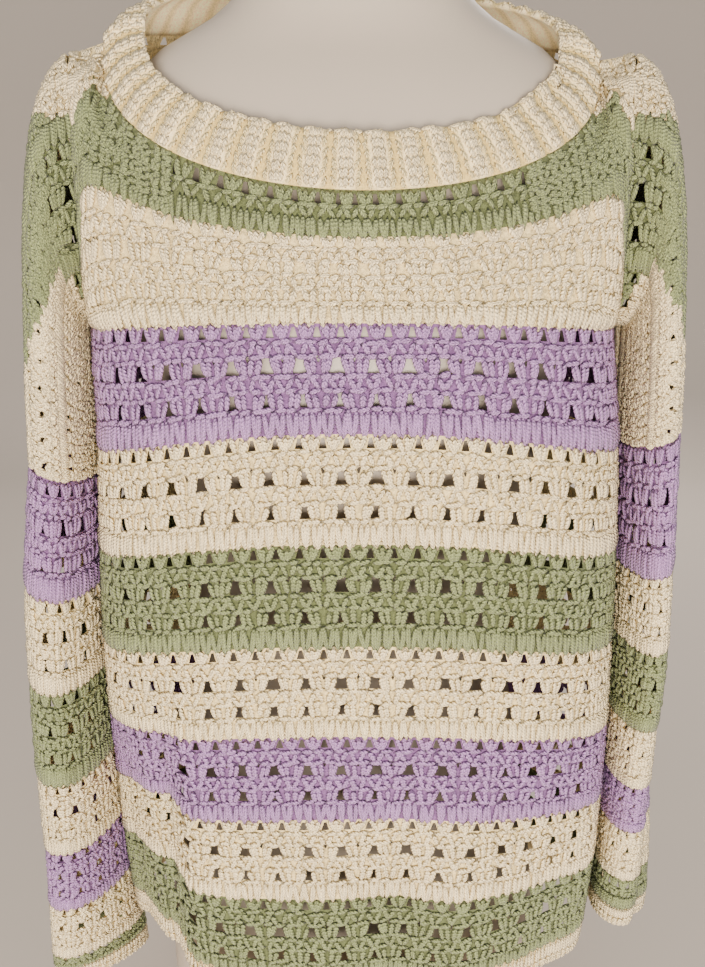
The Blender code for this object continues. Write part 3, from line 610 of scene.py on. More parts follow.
# Rows of the net behind the stitches: share of the band's height, half width of the large
# hole, half width of the slot, half width of the gap between two fans (repeats), 0 for none
NET_ROWS = {
    "full": (
        (0.000, 0.16, 0.16, 0.03), (0.030, 0.16, 0.16, 0.04), (0.125, 0.16, 0.16, 0.12),
        (0.160, 0.16, 0.16, 0.16), (0.220, 0.16, 0.12, 0.16), (0.290, 0.13, 0.07, 0.16),
        (0.305, 0.13, 0.06, 0.16), (0.350, 0.17, 0.02, 0.16), (0.400, 0.21, 0.10, 0.16),
        (0.450, 0.235, 0.16, 0.16), (0.530, 0.20, 0.16, 0.16), (0.600, 0.12, 0.16, 0.16),
        (0.615, 0.11, 0.16, 0.16), (0.690, 0.14, 0.16, 0.16), (0.755, 0.175, 0.16, 0.16),
        (0.850, 0.16, 0.16, 0.16),
    ),
    "dense": tuple((share, 0.16, 0.16, 0.16)
                   for share in (0.0, 0.11, 0.22, 0.35, 0.46, 0.6, 0.7, 0.8, 0.9)),
    "short": (
        (0.000, 0.16, 0.16, 0.03), (0.080, 0.16, 0.16, 0.05), (0.320, 0.16, 0.16, 0.11),
        (0.450, 0.16, 0.16, 0.16), (0.700, 0.16, 0.16, 0.16),
    ),
}
# Where in a band each kind of hole is open. A closed band is a full one with no hole
HOLES = {
    "full": {"large": ((0.305, 0.450), (0.615, 0.755)), "slot": ((0.290, 0.350),),
             "gap": ((0.030, 0.125),)},
    "dense": {},
    "short": {"gap": ((0.080, 0.320),)},
    "closed": {},
}
for table in (TILES, NET_ROWS):
    table["closed"] = table["full"]
NET_COLUMNS = 6          # to a repeat
EVEN = 0.16              # half width where a line of the net does not gather
FAN_LINE = 0.155         # lines with a gap below this half width run through the fans
FULL_BAND = 0.035        # a sleeve band lower than this is worked with the short tile
EDGE_REACH = 0.12        # repeats by which strands reach over into the next region
ARM_REACH = 0.02         # and their furthest reach past an arm's ends, in shares of its length
OVERLAP = 0.10           # share of its length by which a strand reaches under the next
RINGS = 3                # rings of a strand between its two tips
SIDES_ROUND = 4          # corners of each ring
# How high a strand lies on the cloth: its seat (mm), and the shares of its lift that its
# tips and, beyond them, its middle have
SEAT_MM, TIP_LIFT, TOP_LIFT = 0.225, 0.2625, 0.4875
TIP_POWER = 0.38         # how fast a strand thins towards its tips
LINE = np.linspace(0, 1, RINGS + 2)
CURVE = np.sin(np.pi * LINE)
TAPER = np.clip(CURVE, 0, 1) ** TIP_POWER
OVALNESS = 0.85          # height of a ring against its width
TIP_DEPTH = 0.35         # painted shade at a tip: 0 for the shade colour, 1 for the lit top
# The random shifts of a strand: u, v and bow (standard deviation), lift and radius (range)
SHIFT_U, SHIFT_V, SHIFT_BOW = 0.030, 0.010, 0.020
LIFT_RANGE, RADIUS_RANGE = (0.75, 1.25), (0.88, 1.18)


def strand_rows(region, rng):
    """All the strands of a region: the tile's table set down at every second repeat of
    every band, with each control point moved a little."""
    rows = []
    shift = np.arange(0, region.repeats, 2)[:, None]
    for band in range(region.bands):
        tile = np.array(TILES[region.kinds[band]])
        block = np.repeat(tile[None], len(shift), axis=0)
        block[..., 0] += shift
        block[..., 2] += shift
        block[..., 1] += band
        block[..., 3] += band
        rows.append(block.reshape(-1, tile.shape[1]))
    rows = np.concatenate(rows)
    overlap = OVERLAP * (rows[:, 2:4] - rows[:, 0:2])
    rows[:, 0:2] -= overlap
    rows[:, 2:4] += overlap
    rows[:, [0, 2]] += rng.normal(0, SHIFT_U, (len(rows), 2))
    rows[:, [1, 3]] += rng.normal(0, SHIFT_V, (len(rows), 2))
    rows[:, 4] += rng.normal(0, SHIFT_BOW, len(rows))
    rows[:, 5] *= rng.uniform(*LIFT_RANGE, len(rows))
    rows[:, 6] *= rng.uniform(*RADIUS_RANGE, len(rows))
    if not region.wraps:
        rows[:, [0, 2]] = np.clip(rows[:, [0, 2]], -EDGE_REACH, region.repeats + EDGE_REACH)
    rows[:, [1, 3]] = np.maximum(rows[:, [1, 3]], 0.0)
    return rows


def strand_line(rows):
    """The straight line of each strand from its start to its end, in u and v."""
    return (rows[:, k, None] + (rows[:, k + 2] - rows[:, k])[:, None] * LINE for k in (0, 1))


def strand_arrays(region, rng, gauge):
    """Tapered strands on a region: centre line = start + (end - start)t + bow sin(pi t)
    sideways, raised by lift sin(pi t); radius = r sin(pi t)^0.38, in an oval section.
    Returns points, normals of the cloth, radii and yarn for each strand."""
    rows = strand_rows(region, rng)
    u, v = strand_line(rows)
    u = u + rows[:, 4:5] * CURVE
    height = WALL / 2 + (SEAT_MM + rows[:, 5:6] * (TIP_LIFT + TOP_LIFT * CURVE)) * MM
    points, normals = raised(region.place, u, v, height, region.facing)
    radius = rows[:, 6:7] * MM * gauge * TAPER
    yarn = region.yarn((u[:, 0] + u[:, -1]) / 2, (v[:, 0] + v[:, -1]) / 2)
    return points, normals, radius, yarn


def unit(vectors):
    return vectors / np.maximum(np.linalg.norm(vectors, axis=-1, keepdims=True), 1e-12)


def strand_mesh(name, points, normals, radius, look, rng):
    """Tubes with closed tips: a pole, rings across the line, and a pole. A ring is centre +
    r(cos f * side + 0.85 sin f * up). Depth sets painted shade: 0 under a strand, in its shade,
    and 1 on its lit top; run is the length from its start and turn goes once round it."""
    count, middle = len(points), slice(1, RINGS + 1)
    line = unit(np.gradient(points, axis=1))
    side = unit(np.cross(line, normals))
    up = np.cross(side, line)
    f = np.arange(SIDES_ROUND) / SIDES_ROUND * 2 * np.pi - np.pi / 2
    across, above = np.cos(f)[:, None], OVALNESS * np.sin(f)[:, None]
    ring = points[:, middle, None] + radius[:, middle, None, None] * (
        across * side[:, middle, None] + above * up[:, middle, None])
    per = RINGS * SIDES_ROUND + 2
    verts = np.concatenate([points[:, :1], ring.reshape(count, per - 2, 3), points[:, -1:]], axis=1)
    k = np.arange(SIDES_ROUND)
    after = (k + 1) % SIDES_ROUND
    starts = 1 + np.arange(RINGS)[:, None] * SIDES_ROUND
    a, b = starts[:-1], starts[1:]
    quads = np.stack([a + k, b + k, b + after, a + after], axis=-1).reshape(-1, 4)
    last = starts[-1]
    tips = np.concatenate([
        np.stack([0 * k, 1 + k, 1 + after], axis=1),
        np.stack([0 * k + per - 1, last + after, last + k], axis=1)])
    length = np.linalg.norm(np.diff(points, axis=1), axis=-1)
    run = np.concatenate([np.zeros((count, 1)), np.cumsum(length, axis=1)], axis=1)
    run = np.repeat(run, [1] + [SIDES_ROUND] * RINGS + [1], axis=1)
    depth = np.concatenate([[TIP_DEPTH], np.tile((1 + np.sin(f)) / 2, RINGS), [TIP_DEPTH]])
    turn = np.concatenate([[0.5], np.tile(k / SIDES_ROUND, RINGS), [0.5]])
    base = (np.arange(count) * per)[:, None, None]
    faces = [(base + block).reshape(-1, block.shape[1]) for block in (quads, tips)]
    tone = np.repeat(rng.uniform(0, 1, count), per)
    return cloth_mesh(name, verts.reshape(-1, 3), faces, [look], {
        "depth": np.tile(depth, count), "tone": tone, "run": run.reshape(-1),
        "turn": np.tile(turn, count)})


def cloth_mesh(name, points, faces, looks, values=None, slots=None):
    """An object from arrays of points, lists of quads and triangles, and point values."""
    mesh = bpy.data.meshes.new(name)
    loops = np.concatenate([block.reshape(-1) for block in faces]).astype(np.int32)
    sizes = np.concatenate([np.full(len(block), block.shape[1]) for block in faces])
    starts = np.concatenate([[0], np.cumsum(sizes)[:-1]]).astype(np.int32)
    mesh.vertices.add(len(points))
    mesh.vertices.foreach_set("co", points.astype(np.float32).reshape(-1))
    mesh.loops.add(len(loops))
    mesh.loops.foreach_set("vertex_index", loops)
    mesh.polygons.add(len(sizes))
    mesh.polygons.foreach_set("loop_start", starts)
    mesh.update(calc_edges=True)
    for label, value in (values or {}).items():
        layer = mesh.attributes.new(label, "FLOAT", "POINT")
        layer.data.foreach_set("value", np.asarray(value, dtype=np.float32))
    for look in looks:
        mesh.materials.append(look)
    if slots is not None:
        mesh.polygons.foreach_set("material_index", np.asarray(slots, dtype=np.int32))
    mesh.polygons.foreach_set("use_smooth", np.ones(len(sizes), dtype=bool))
    mesh.validate()
    thing = bpy.data.objects.new(name, mesh)
    bpy.context.collection.objects.link(thing)
    return thing


def grid_quads(rows, columns, close_rows=False, close_columns=False):
    """The corners of each cell in a grid of points, row by row. A closed way joins its last
    points to its first."""
    corner = np.arange(rows * columns).reshape(rows, columns)
    corner = np.pad(corner, ((0, int(close_rows)), (0, int(close_columns))), mode="wrap")
    return np.stack([corner[:-1, :-1], corner[1:, :-1], corner[1:, 1:], corner[:-1, 1:]], axis=-1)


def net_part(region):
    """The net behind the stitches of a region: a grid whose lines gather round each hole,
    with the holes' cells left out. Returns points, quads and the yarn of each quad."""
    lines, cuts = [], []
    for band, kind in enumerate(region.kinds):
        lines += [(band + row[0],) + row[1:] for row in NET_ROWS[kind]]
        cuts += [(name, band + low, band + high)
                 for name, spans in HOLES[kind].items() for low, high in spans]
    lines = np.array(lines + [(float(region.bands),) + 3 * (EVEN,)])
    across = region.repeats * NET_COLUMNS
    index = np.arange(across + 1)
    grid = np.repeat((index / NET_COLUMNS)[None], len(lines), axis=0)
    phase = index % NET_COLUMNS
    in_fans = np.nonzero(lines[:, 3] < FAN_LINE)[0]
    for side in (-1, 1):
        large, slot = phase == 3 + side, phase == side % NET_COLUMNS
        grid[:, large] = index[large] // NET_COLUMNS + 0.5 + side * lines[:, 1:2]
        centre = np.round((index[slot] - side) / NET_COLUMNS)
        grid[:, slot] = centre + side * lines[:, 2:3]
    for side in (-1, 1):
        gap = (index - side) % 4 == 0
        beside = (index[gap] - side) / NET_COLUMNS + side * lines[in_fans, 3:4]
        grid[np.ix_(in_fans, np.nonzero(gap)[0])] = beside
    grid = np.clip(grid, 0, region.repeats)
    middle_v = (lines[:-1, 0] + lines[1:, 0]) / 2
    cell = np.arange(across)
    around = {
        "large": np.isin(cell % NET_COLUMNS, (2, 3)),
        "slot": np.isin(cell % NET_COLUMNS, (0, NET_COLUMNS - 1)),
        "gap": np.isin(cell % 4, (0, 3)),
    }
    keep = np.ones((len(lines) - 1, across), dtype=bool)
    for name, low, high in cuts:
        rows = (middle_v > low) & (middle_v < high)
        keep &= ~(rows[:, None] & around[name])
    grid_v = np.repeat(lines[:, 0:1], across + 1, axis=1)
    points, _ = raised(region.place, grid, grid_v, np.full(grid.shape, WALL / 2), region.facing)
    quads = grid_quads(*grid.shape)
    if region.facing < 0:
        quads = quads[..., ::-1]
    middle_u = (grid[:-1, :-1] + grid[1:, 1:]) / 2
    yarn = region.yarn(middle_u, np.repeat(middle_v[:, None], across, axis=1))
    return points.reshape(-1, 3), quads[keep], yarn[keep]


def net_mesh(name, regions, looks):
    """The nets of several regions in one piece, without the points that no face uses."""
    parts = [net_part(region) for region in regions]
    first = np.cumsum([0] + [len(points) for points, _, _ in parts])
    points = np.concatenate([part[0] for part in parts])
    quads = np.concatenate([part[1] + start for part, start in zip(parts, first)])
    yarns = np.concatenate([part[2] for part in parts])
    used, place = np.unique(quads, return_inverse=True)
    # The net gets no depth values, so its colour is wholly its yarn's painted shade colour: yarn
    # behind the stitches, painted all in shade
    values = {"tone": np.full(len(used), 0.5)}
    return cloth_mesh(name, points[used], [place.reshape(quads.shape)], looks, values, yarns)


def work_cloth(name, regions, seed, node_name):
    """One piece of openwork cloth: its net, and its stitches in a piece for each yarn."""
    rng, looks = np.random.default_rng(seed), yarn_looks()
    gauge = bpy.context.scene.sweater_sizes.gauge
    net = net_mesh(f"{name}_net", regions, [LOOKS[f"{label}_net"] for label in YARNS])
    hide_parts(node_name)
    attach(net, "root")
    parts = zip(*(strand_arrays(region, rng, gauge) for region in regions))
    points, normals, radius, yarn = (np.concatenate(part) for part in parts)
    stitches = []
    for index, label in enumerate(YARNS):
        pick = yarn == index
        piece = strand_mesh(f"{name}_{label}_stitches", points[pick], normals[pick],
                            radius[pick], looks[index], rng)
        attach(piece, "root")
        stitches.append(piece)
    return net, stitches


def linear(hex_colour):
    """sRGB hex to linear light."""
    value = np.array([int(hex_colour[k:k + 2], 16) for k in (1, 3, 5)]) / 255
    return tuple(np.where(value <= 0.04045, value / 12.92, ((value + 0.055) / 1.055) ** 2.4))


def join(tree, made, links):
    """Sets a node's sockets from (socket, source) pairs: a number or a colour is set, and an
    output, or a node's first output, is linked."""
    for socket, source in links:
        if isinstance(source, (float, tuple)):
            made.inputs[socket].default_value = source
        else:
            output = source.outputs[0] if isinstance(source, bpy.types.Node) else source
            tree.links.new(output, made.inputs[socket])


def node(tree, kind, links=(), **settings):
    """Adds a node; settings whose name is an input go to its first socket of that name,
    others to the node. links are (socket, source) pairs."""
    made = tree.nodes.new(kind)
    for key, value in settings.items():
        label = key.replace("_", " ")
        sockets = {socket.name.lower(): socket for socket in reversed(made.inputs[:])}
        if label in sockets and not hasattr(made, key):
            sockets[label].default_value = value
        else:
            setattr(made, key, value)
    join(tree, made, links)
    return made


def new_look(name):
    """An empty material: itself, its node tree and shader, and the object's coordinates."""
    material = bpy.data.materials.new(name)
    material.use_nodes = True
    tree = material.node_tree
    where = node(tree, "ShaderNodeTexCoord").outputs["Object"]
    return material, tree, tree.nodes["Principled BSDF"], where


def plied_yarn(name, main, recess, fleck_mm=1.3, contrast=0.24, relief_mm=1.0):
    """Plied acrylic yarn, spun and crocheted: soft and matt with a little sheen at its
    edges. Light and shade are painted into its colour: it runs from painted shade under each
    strand to its lit top, light and dark slanted lines are painted along its plies, the groove
    along its top is painted darker, and bright flecks are painted highlights. Behind the stitches
    the
    flecks are drawn coarser than fibres: they stand for lit and shaded loops."""
    material, tree, shader, where = new_look(name)
    depth, tone, run, turn = (
        node(tree, "ShaderNodeAttribute", attribute_name=label).outputs["Fac"]
        for label in ("depth", "tone", "run", "turn"))
    # Each stitch's two legs meet in a groove along its top, painted darker as shade and dented by
    # the bump; their plies slant away from it,
    # 2.6 mm apart
    off = node(tree, "ShaderNodeMath", [(0, turn), (1, 0.5)], operation="SUBTRACT")
    beside = node(tree, "ShaderNodeMath", [(0, off)], operation="ABSOLUTE")
    groove = node(tree, "ShaderNodeMapRange", [(0, beside)], from_min=0.0, from_max=0.085,
                  to_min=-0.32, to_max=0.0)
    along = node(tree, "ShaderNodeMath", [(0, run), (1, 2 * np.pi / (2.6 * MM))],
                 operation="MULTIPLY")
    slant = node(tree, "ShaderNodeMath", [(0, beside), (1, 2 * np.pi * 2.5), (2, along)],
                 operation="MULTIPLY_ADD")
    ply = node(tree, "ShaderNodeMath", [(0, slant)], operation="SINE")
    # Fibres: flecks where they catch the light, and a slow 45 mm drift of the dye
    fibre = node(tree, "ShaderNodeTexNoise", [("Vector", where)], scale=1 / (fleck_mm * MM),
                 detail=4.0, roughness=0.75)
    fleck = node(tree, "ShaderNodeMapRange", [(0, fibre)], from_min=0.36, from_max=0.64,
                 to_min=-contrast, to_max=contrast)
    drift = node(tree, "ShaderNodeTexNoise", [("Vector", where)], scale=22.0, detail=2.0)
    # Colour: from the painted shade colour under a strand to its lit top, its value raised by
    # painted ply shading, random tone, painted highlight flecks and dye drift, and lowered by the
    # groove's painted shade
    edge = node(tree, "ShaderNodeMapRange", [(0, depth)], from_min=0.05, from_max=0.75)
    mix = node(tree, "ShaderNodeMix", data_type="RGBA")
    join(tree, mix, [("Factor", edge), ("A", (*recess, 1.0)), ("B", (*main, 1.0))])
    lit = node(tree, "ShaderNodeMath", [(0, ply), (1, 0.13), (2, 0.86)], operation="MULTIPLY_ADD")
    for source, share in ((tone, 0.14), (fleck, 1.0), (drift, 0.16), (groove, 1.0)):
        lit = node(tree, "ShaderNodeMath", [(0, source), (1, share), (2, lit)],
                   operation="MULTIPLY_ADD")
    colour = node(tree, "ShaderNodeHueSaturation",
                  [("Color", mix.outputs["Result"]), ("Value", lit)])
    rough = node(tree, "ShaderNodeMath", [(0, ply), (1, fibre)], operation="ADD")
    height = node(tree, "ShaderNodeMath", [(0, groove), (1, 4.0), (2, rough)],
                  operation="MULTIPLY_ADD")
    bump = node(tree, "ShaderNodeBump", [("Height", height)], strength=0.7,
                distance=relief_mm * MM)
    join(tree, shader, [
        ("Base Color", colour), ("Normal", bump), ("Roughness", 0.82), ("Sheen Weight", 0.12),
        ("Sheen Roughness", 0.45), ("Specular IOR Level", 0.35)])
    return material


def moulded_form(name, main):
    """Satin thermoplastic, moulded over the form: even off-white with a soft shine, soft
    patches of painted shade over it and the faint grain of a thin shell's skin."""
    material, tree, shader, where = new_look(name)
    # 110 mm patches of painted shade on the shell and a 1.4 mm grain of its skin
    shade_patches = node(tree, "ShaderNodeTexNoise", [("Vector", where)], scale=9.0, detail=2.0)
    skin = node(tree, "ShaderNodeTexNoise", [("Vector", where)], scale=700.0, detail=2.0)
    tint = node(tree, "ShaderNodeMapRange", [(0, shade_patches)], to_min=0.96, to_max=1.03)
    colour = node(tree, "ShaderNodeHueSaturation", [("Value", tint), ("Color", (*main, 1.0))])
    bump = node(tree, "ShaderNodeBump", [("Height", skin)], strength=0.15, distance=0.2 * MM)
    join(tree, shader, [
        ("Base Color", colour), ("Normal", bump), ("Roughness", 0.42), ("IOR", 1.46)])
    return material


def plain_wall(name, main):
    """Matt emulsion on a smooth wall and floor, slightly cloudy."""
    material, tree, shader, where = new_look(name)
    # Clouds of about 0.7 m
    cloud = node(tree, "ShaderNodeTexNoise", [("Vector", where)], scale=1.5, detail=3.0)
    tint = node(tree, "ShaderNodeMapRange", [(0, cloud)], to_min=0.97, to_max=1.03)
    colour = node(tree, "ShaderNodeHueSaturation", [("Value", tint), ("Color", (*main, 1.0))])
    join(tree, shader, [("Base Color", colour), ("Roughness", 0.9)])
    return material


LOOKS = {}


def yarn_looks():
    """The three yarns, made once from the panel's colours."""
    colours = bpy.context.scene.sweater_colours
    for label in YARNS if not LOOKS else ():
        pair = tuple(getattr(colours, label)), tuple(getattr(colours, f"{label}_recess"))
        LOOKS[label] = plied_yarn(f"{label}_plied_acrylic_yarn", *pair)
        # The net's look: the same colours, with coarse bright and dark flecks as painted light and
        # shade on its loops
        LOOKS[f"{label}_net"] = plied_yarn(f"{label}_yarn_loops_behind", *pair,
                                           fleck_mm=3.0, contrast=0.36, relief_mm=4.0)
    return [LOOKS[label] for label in YARNS]


def colour_field(label, about, hex_colour):
    return FloatVectorProperty(name=label, description=about, subtype="COLOR", size=3,
                               min=0.0, max=1.0, default=linear(hex_colour))


class SweaterColours(PropertyGroup):
    # Each yarn has its lit colour and a darker painted shade colour, which stands for the shade
    # under and between its stitches; the neckband's groove stitches get a shaded copy of the cream
    cream: colour_field("Cream", "Lit cream yarn", "#FBE8BA")
    cream_recess: colour_field("Cream recess", "Cream yarn between the stitches", "#DAC58F")
    neck_groove_shade: colour_field("Neckband groove", "Stitches between the ribs", "#EBD79E")
    neck_recess: colour_field("Neckband recess", "Cream yarn between the ribs", "#CDB470")
    green: colour_field("Green", "Lit sage green yarn", "#8C9666")
    green_recess: colour_field("Green recess", "Green yarn between the stitches", "#58603B")
    lilac: colour_field("Lilac", "Lit lilac yarn", "#AF87BC")
    lilac_recess: colour_field("Lilac recess", "Lilac yarn between the stitches", "#75527F")
    form: colour_field("Form", "The dress form's shell", "#ADA294")
    wall: colour_field("Wall", "The wall and the floor", "#BDB3A8")


class SweaterSizes(PropertyGroup):
    gauge: FloatProperty(name="Yarn gauge", default=1.16, min=0.5, max=1.5,
                         description="Thickness of the yarn against the table")
    body_repeats: IntProperty(name="Body repeats", default=22, min=8, max=40, step=2,
                              description="Stitch repeats across a panel's body")
    arm_repeats: IntProperty(name="Arm repeats", default=12, min=4, max=16, step=2,
                             description="Stitch repeats along an upper arm")
    side_repeats: IntProperty(name="Side repeats", default=6, min=2, max=8, step=2,
                              description="Repeats of the body beside the neckband")
    sleeve_repeats: IntProperty(name="Sleeve repeats", default=14, min=6, max=24, step=2,
                                description="Stitch repeats round a sleeve")
    neck_stitches: IntProperty(name="Neckband stitches", default=6, min=3, max=9,
                               description="Stitches up each rib")


class SWEATER_OT_front(Operator):
    """Works the front: its net with the holes cut through, and the stitches of each stripe"""
    bl_idname = "sweater.front"
    bl_label = "Front panel"

    def execute(self, context):
        regions = panel_regions(False, context.scene.sweater_sizes)
        net, stitches = work_cloth("front", regions, 11, "front_panel")
        return {"FINISHED"}


class SWEATER_OT_back(Operator):
    """Works the back: its net with the holes cut through, and the stitches of each stripe"""
    bl_idname = "sweater.back"
    bl_label = "Back panel"

    def execute(self, context):
        regions = panel_regions(True, context.scene.sweater_sizes)
        net, stitches = work_cloth("back", regions, 12, "back_panel")
        return {"FINISHED"}


class SWEATER_OT_sleeves(Operator):
    """Works both sleeves as tubes of the same openwork"""
    bl_idname = "sweater.sleeves"
    bl_label = "Sleeves"

    def execute(self, context):
        for seed, side in enumerate(SIDES, 20):
            region = sleeve_region(side, context.scene.sweater_sizes.sleeve_repeats)
            net, stitches = work_cloth(f"sleeve_{side}", [region], seed, f"sleeve_{side}")
        return {"FINISHED"}


BAND_SHIFT_U, BAND_SHIFT_V = 0.0005, 0.012      # random shifts of a band's stitches


def band_piece(name, node_name, look, place, u_count, rows, height, stitches, seed):
    """A narrow closed band: a wall with an outer and an inner face, and its stitches as
    strands. place(u, v) has u once round and v across the band, both 0 to 1. A stitch is
    (start u, start v, end u, end v, lift, radius), the last two in mm."""
    rng = np.random.default_rng(seed)
    u, v = np.meshgrid(np.linspace(0, 1, u_count, endpoint=False), np.linspace(0, 1, rows + 1))
    rise = height(u, v)
    outer, _ = raised(place, u, v, rise, 1.0)
    inner, _ = raised(place, u, v[::-1], 0 * u + LINING, 1.0)
    points = np.concatenate([outer, inner])
    quads = grid_quads(2 * (rows + 1), u_count, True, True).reshape(-1, 4)
    share = (rise - rise.min()) / max(np.ptp(rise), MM)
    # Painted shade: the base's colour runs from the shade colour at the foot of its relief to the
    # lit colour on top, and its inner face from part shade to lit
    depth = np.concatenate([share, 0.7 * share[::-1] + 0.3]).reshape(-1)
    net = cloth_mesh(f"{name}_base", points.reshape(-1, 3), [quads], [look],
                     {"depth": depth, "tone": np.full(depth.size, 0.5)})
    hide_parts(node_name)
    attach(net, "root")
    for label, yarn, table in stitches:
        table = np.array(table)
        at_u, at_v = strand_line(table)
        shift = rng.normal(0, BAND_SHIFT_U, (len(table), 2))
        at_u = at_u + np.repeat(shift, (3, RINGS - 1), axis=1)
        at_v = at_v + rng.normal(0, BAND_SHIFT_V, (len(table), 1))
        lift = height(at_u, at_v) + table[:, 4:5] * MM * (0.3 + 0.7 * CURVE)
        centre, normal = raised(place, at_u, at_v, lift, 1.0)
        radius = table[:, 5:6] * MM * TAPER
        piece = strand_mesh(f"{name}_{label}", centre, normal, radius, yarn, rng)
        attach(piece, "root")


class SWEATER_OT_neckband(Operator):
    """Works the ribbed neckband, each rib a column of raised stitches"""
    bl_idname = "sweater.neckband"
    bl_label = "Neckband"

    def execute(self, context):
        count = context.scene.sweater_sizes.neck_stitches

        def place(u, v):
            return neck_point(u * 2 * np.pi, v)

        def height(u, v):
            rib = (1 + np.cos(u * 2 * np.pi * RIB_COUNT)) / 2
            edge = ease((1.02 - v) / 0.06) ** 0.5
            return WALL / 2 + (0.5 + RIB_HEIGHT_MM * rib * edge) * MM

        stitches, grooves = [], []
        for middle in np.arange(RIB_COUNT) / RIB_COUNT:
            groove = middle + 0.5 / RIB_COUNT
            for k in range(count):
                top, base = max((k - 0.30) / count, -0.01), min((k + 1.05) / count, 1.03)
                for lean in (-1, 0, 1):
                    wide, lift = lean * RIB_REACH, 0.7 if lean == 0 else 0.2
                    stitches.append((middle + wide * 0.70, base, middle + wide * 1.15, top,
                                     lift, 2.1))
                for lean in (-1, 1):
                    grooves.append((groove + lean * 0.0044, base, groove + lean * 0.0020, top,
                                    0.1, 1.9))
        for middle in np.arange(2 * RIB_COUNT) / (2 * RIB_COUNT):
            stitches.append((middle, 0.0, middle + 0.012, 0.02, 0.6, 1.6))
        colours = context.scene.sweater_colours
        cream, groove, recess = (
            tuple(getattr(colours, label)) for label in ("cream", "neck_groove_shade", "neck_recess"))
        # The groove stitches are the same cream yarn, drawn in a darker, yellower copy as painted
        # shade between the ribs
        look = plied_yarn("neckband_plied_acrylic_yarn", cream, recess)
        deep = plied_yarn("neckband_recess_yarn", groove, recess)
        band_piece("neckband", "neckband", look, place, RIB_COUNT * 8, 10, height,
                   [("stitches", look, stitches), ("grooves", deep, grooves)], 31)
        return {"FINISHED"}


# One repeat of an edging: start and end of each strand (u in repeats, v across) and its lift
EDGING = (
    (-0.30, -0.03, -0.10, 0.62, 1.5),
    (0.30, -0.03, 0.10, 0.62, 1.5),
    (-0.45, 0.66, 0.50, 0.60, 1.4),
    (-0.30, 0.68, 0.0, 1.03, 1.2),
    (0.30, 0.68, 0.0, 1.03, 1.2),
)


class SWEATER_OT_edgings(Operator):
    """Works the narrow cream edgings of the hem and of both cuffs"""
    bl_idname = "sweater.edgings"
    bl_label = "Hem and cuffs"

    def execute(self, context):
        def plain(u, v):
            return WALL / 2 + 0 * u + 0 * v

        def hem(u, v):
            turn = (u % 1.0) * 4 - 1
            level = HEM_LEVEL + (HEM_END - HEM_LEVEL) * v
            front = body_point(np.clip(turn, -1, 1), level, False)
            rear = body_point(np.clip(2 - turn, -1, 1), level, True)
            return np.where((turn < 1)[..., None], front, rear)

        def edging(count):
            rows = []
            for k in range(count):
                rows += [((k + 0.5 + start_u) / count, start_v, (k + 0.5 + end_u) / count, end_v,
                          lift, 1.8) for start_u, start_v, end_u, end_v, lift in EDGING]
            return rows

        look = yarn_looks()[CREAM]
        band_piece("hem", "hem_band", look, hem, 264, 3, plain,
                   [("stitches", look, edging(132))], 41)
        for side in SIDES:
            sign, low, high = SIDES[side]["sign"], SLEEVES[side][6][0], SLEEVES[side][7][0]

            def cuff(u, v, side=side, sign=sign, low=low, high=high):
                return sleeve_point(side, low + (high - low) * v, sign * u * 2 * np.pi)

            band_piece(f"cuff_{side}", f"cuff_{side}", look, cuff, 96, 3, plain,
                       [("stitches", look, edging(42))], 51)
        return {"FINISHED"}


class SWEATER_OT_form(Operator):
    """Gives the dress form a smooth moulded shell"""
    bl_idname = "sweater.form"
    bl_label = "Dress form"

    def execute(self, context):
        look = moulded_form("form_satin_thermoplastic", tuple(context.scene.sweater_colours.form))
        around, rows, top = 96, 101, FORM[-1][0]
        angle = np.linspace(0, 2 * np.pi, around, endpoint=False)
        grid_angle, grid_z = np.meshgrid(angle, np.linspace(0, top, rows))
        points = form_point(grid_angle, grid_z).reshape(-1, 3)
        quads = grid_quads(rows, around, close_columns=True).reshape(-1, 4)[:, ::-1]
        ends = np.array([[0, FORM[0][2], 0.0], [0, FORM[-1][2], top]])
        edge = np.arange(around)
        after, neck_row = (edge + 1) % around, (rows - 1) * around
        caps = np.concatenate([
            np.stack([0 * edge + len(points), after, edge], axis=1),
            np.stack([0 * edge + len(points) + 1, neck_row + edge, neck_row + after], axis=1)])
        shell = cloth_mesh("form_shell", np.vstack([points, ends]), [quads, caps], [look])
        shell.data.set_sharp_from_angle(angle=np.radians(50))
        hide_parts("dress_form")
        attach(shell, "root")
        return {"FINISHED"}


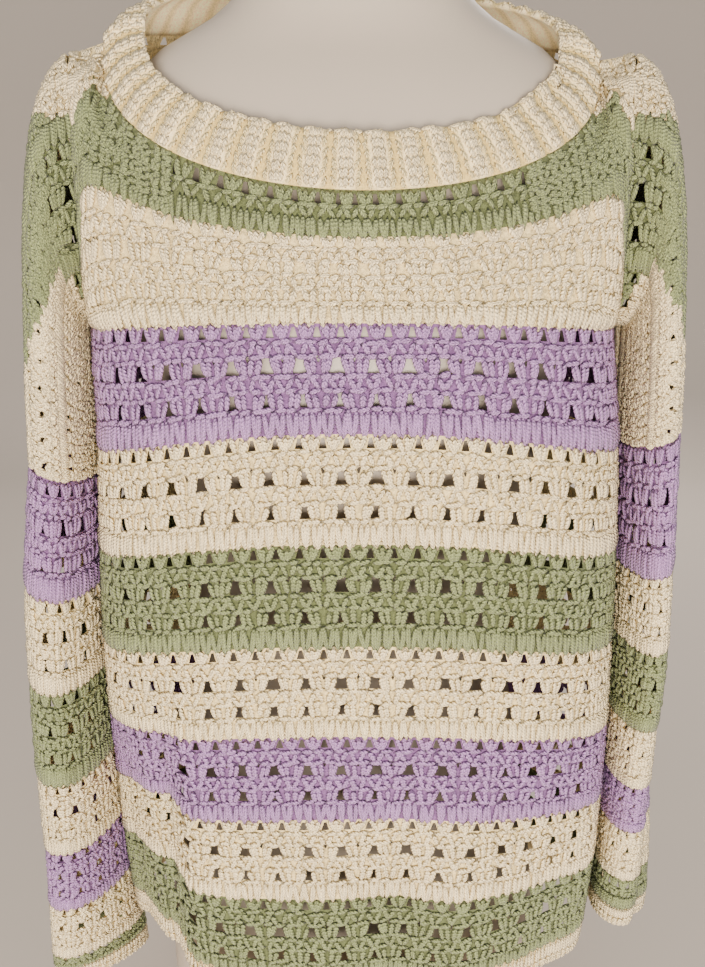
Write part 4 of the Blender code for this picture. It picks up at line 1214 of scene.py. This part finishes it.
class SWEATER_OT_stage(Operator):
    """Sets the plain wall and floor, soft lights and the camera"""
    bl_idname = "sweater.stage"
    bl_label = "Stage"

    def execute(self, context):
        # A floor that turns up into a wall: a quarter circle of 1 m between the two
        bend = np.linspace(0, np.pi / 2, 25)
        wall_y, radius = 3.0, 1.0
        y = np.concatenate([[-4.0], wall_y - radius + radius * np.sin(bend), [wall_y]])
        z = np.concatenate([[0.0], radius - radius * np.cos(bend), [3.5]])
        x = np.repeat([-4.0, 4.0], len(y))
        points = np.stack([x, np.tile(y, 2), np.tile(z, 2)], axis=-1)
        quads = grid_quads(2, len(y)).reshape(-1, 4)
        look = plain_wall("emulsion_wall", tuple(context.scene.sweater_colours.wall))
        sweep = cloth_mesh("sweep", points, [quads], [look])
        lights = (
            ("window", (-1.3, -2.0, 0.45), (96, 0, -33), 1.4, 48.0, "#FFF0DF"),
            ("front", (0.1, -1.70, 0.25), (90, 0, 3), 0.8, 62.0, "#FFF2E4"),
            ("fill", (1.5, -1.9, 0.35), (96, 0, 38), 1.6, 26.0, "#FFF6EE"),
            ("behind", (0.7, 2.0, 1.5), (65, 0, 161), 1.4, 30.0, "#FFF6EE"),
        )
        for name, at, turn, size, power, tint in lights:
            data = bpy.data.lights.new(name, "AREA")
            data.size, data.energy, data.color = size, power, linear(tint)
            lamp = bpy.data.objects.new(name, data)
            lamp.location, lamp.rotation_euler = at, np.radians(turn)
            bpy.context.collection.objects.link(lamp)
        world = bpy.data.worlds.new("studio")
        world.use_nodes = True
        world.node_tree.nodes["Background"].inputs["Color"].default_value = (*linear("#F1EEEC"), 1)
        world.node_tree.nodes["Background"].inputs["Strength"].default_value = 0.90
        context.scene.world = world
        # The camera: 1000 px of focal length in the 967 px frame, 15 degrees down
        data = bpy.data.cameras.new("camera")
        data.sensor_width, data.lens = 36.0, 36.0 * 1000 / 967
        camera = bpy.data.objects.new("camera", data)
        camera.location = (0.0, -0.75, 0.714)
        camera.rotation_euler = (np.radians(75), 0.0, 0.0)
        bpy.context.collection.objects.link(camera)
        context.scene.camera = camera
        return {"FINISHED"}


STEPS = (SWEATER_OT_form, SWEATER_OT_front, SWEATER_OT_back, SWEATER_OT_sleeves,
         SWEATER_OT_neckband, SWEATER_OT_edgings, SWEATER_OT_stage)


class SWEATER_PT_panel(Panel):
    """Lists the sweater's sizes, colours and pieces"""
    bl_idname = "SWEATER_PT_panel"
    bl_label = "Sweater"
    bl_space_type = "VIEW_3D"
    bl_region_type = "UI"
    bl_category = "Sweater"

    def draw(self, context):
        for group in (context.scene.sweater_sizes, context.scene.sweater_colours):
            for field in group.__annotations__:
                self.layout.prop(group, field)
        for step in STEPS:
            self.layout.operator(step.bl_idname)


CLASSES = (SweaterColours, SweaterSizes) + STEPS + (SWEATER_PT_panel,)


def register():
    for cls in CLASSES:
        bpy.utils.register_class(cls)
    bpy.types.Scene.sweater_colours = PointerProperty(type=SweaterColours)
    bpy.types.Scene.sweater_sizes = PointerProperty(type=SweaterSizes)


def unregister():
    del bpy.types.Scene.sweater_sizes
    del bpy.types.Scene.sweater_colours
    for cls in reversed(CLASSES):
        bpy.utils.unregister_class(cls)


def main():
    register()
    for step in STEPS:
        family, name = step.bl_idname.split(".")
        getattr(getattr(bpy.ops, family), name)()
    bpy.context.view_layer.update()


if __name__ == "__main__":
    main()
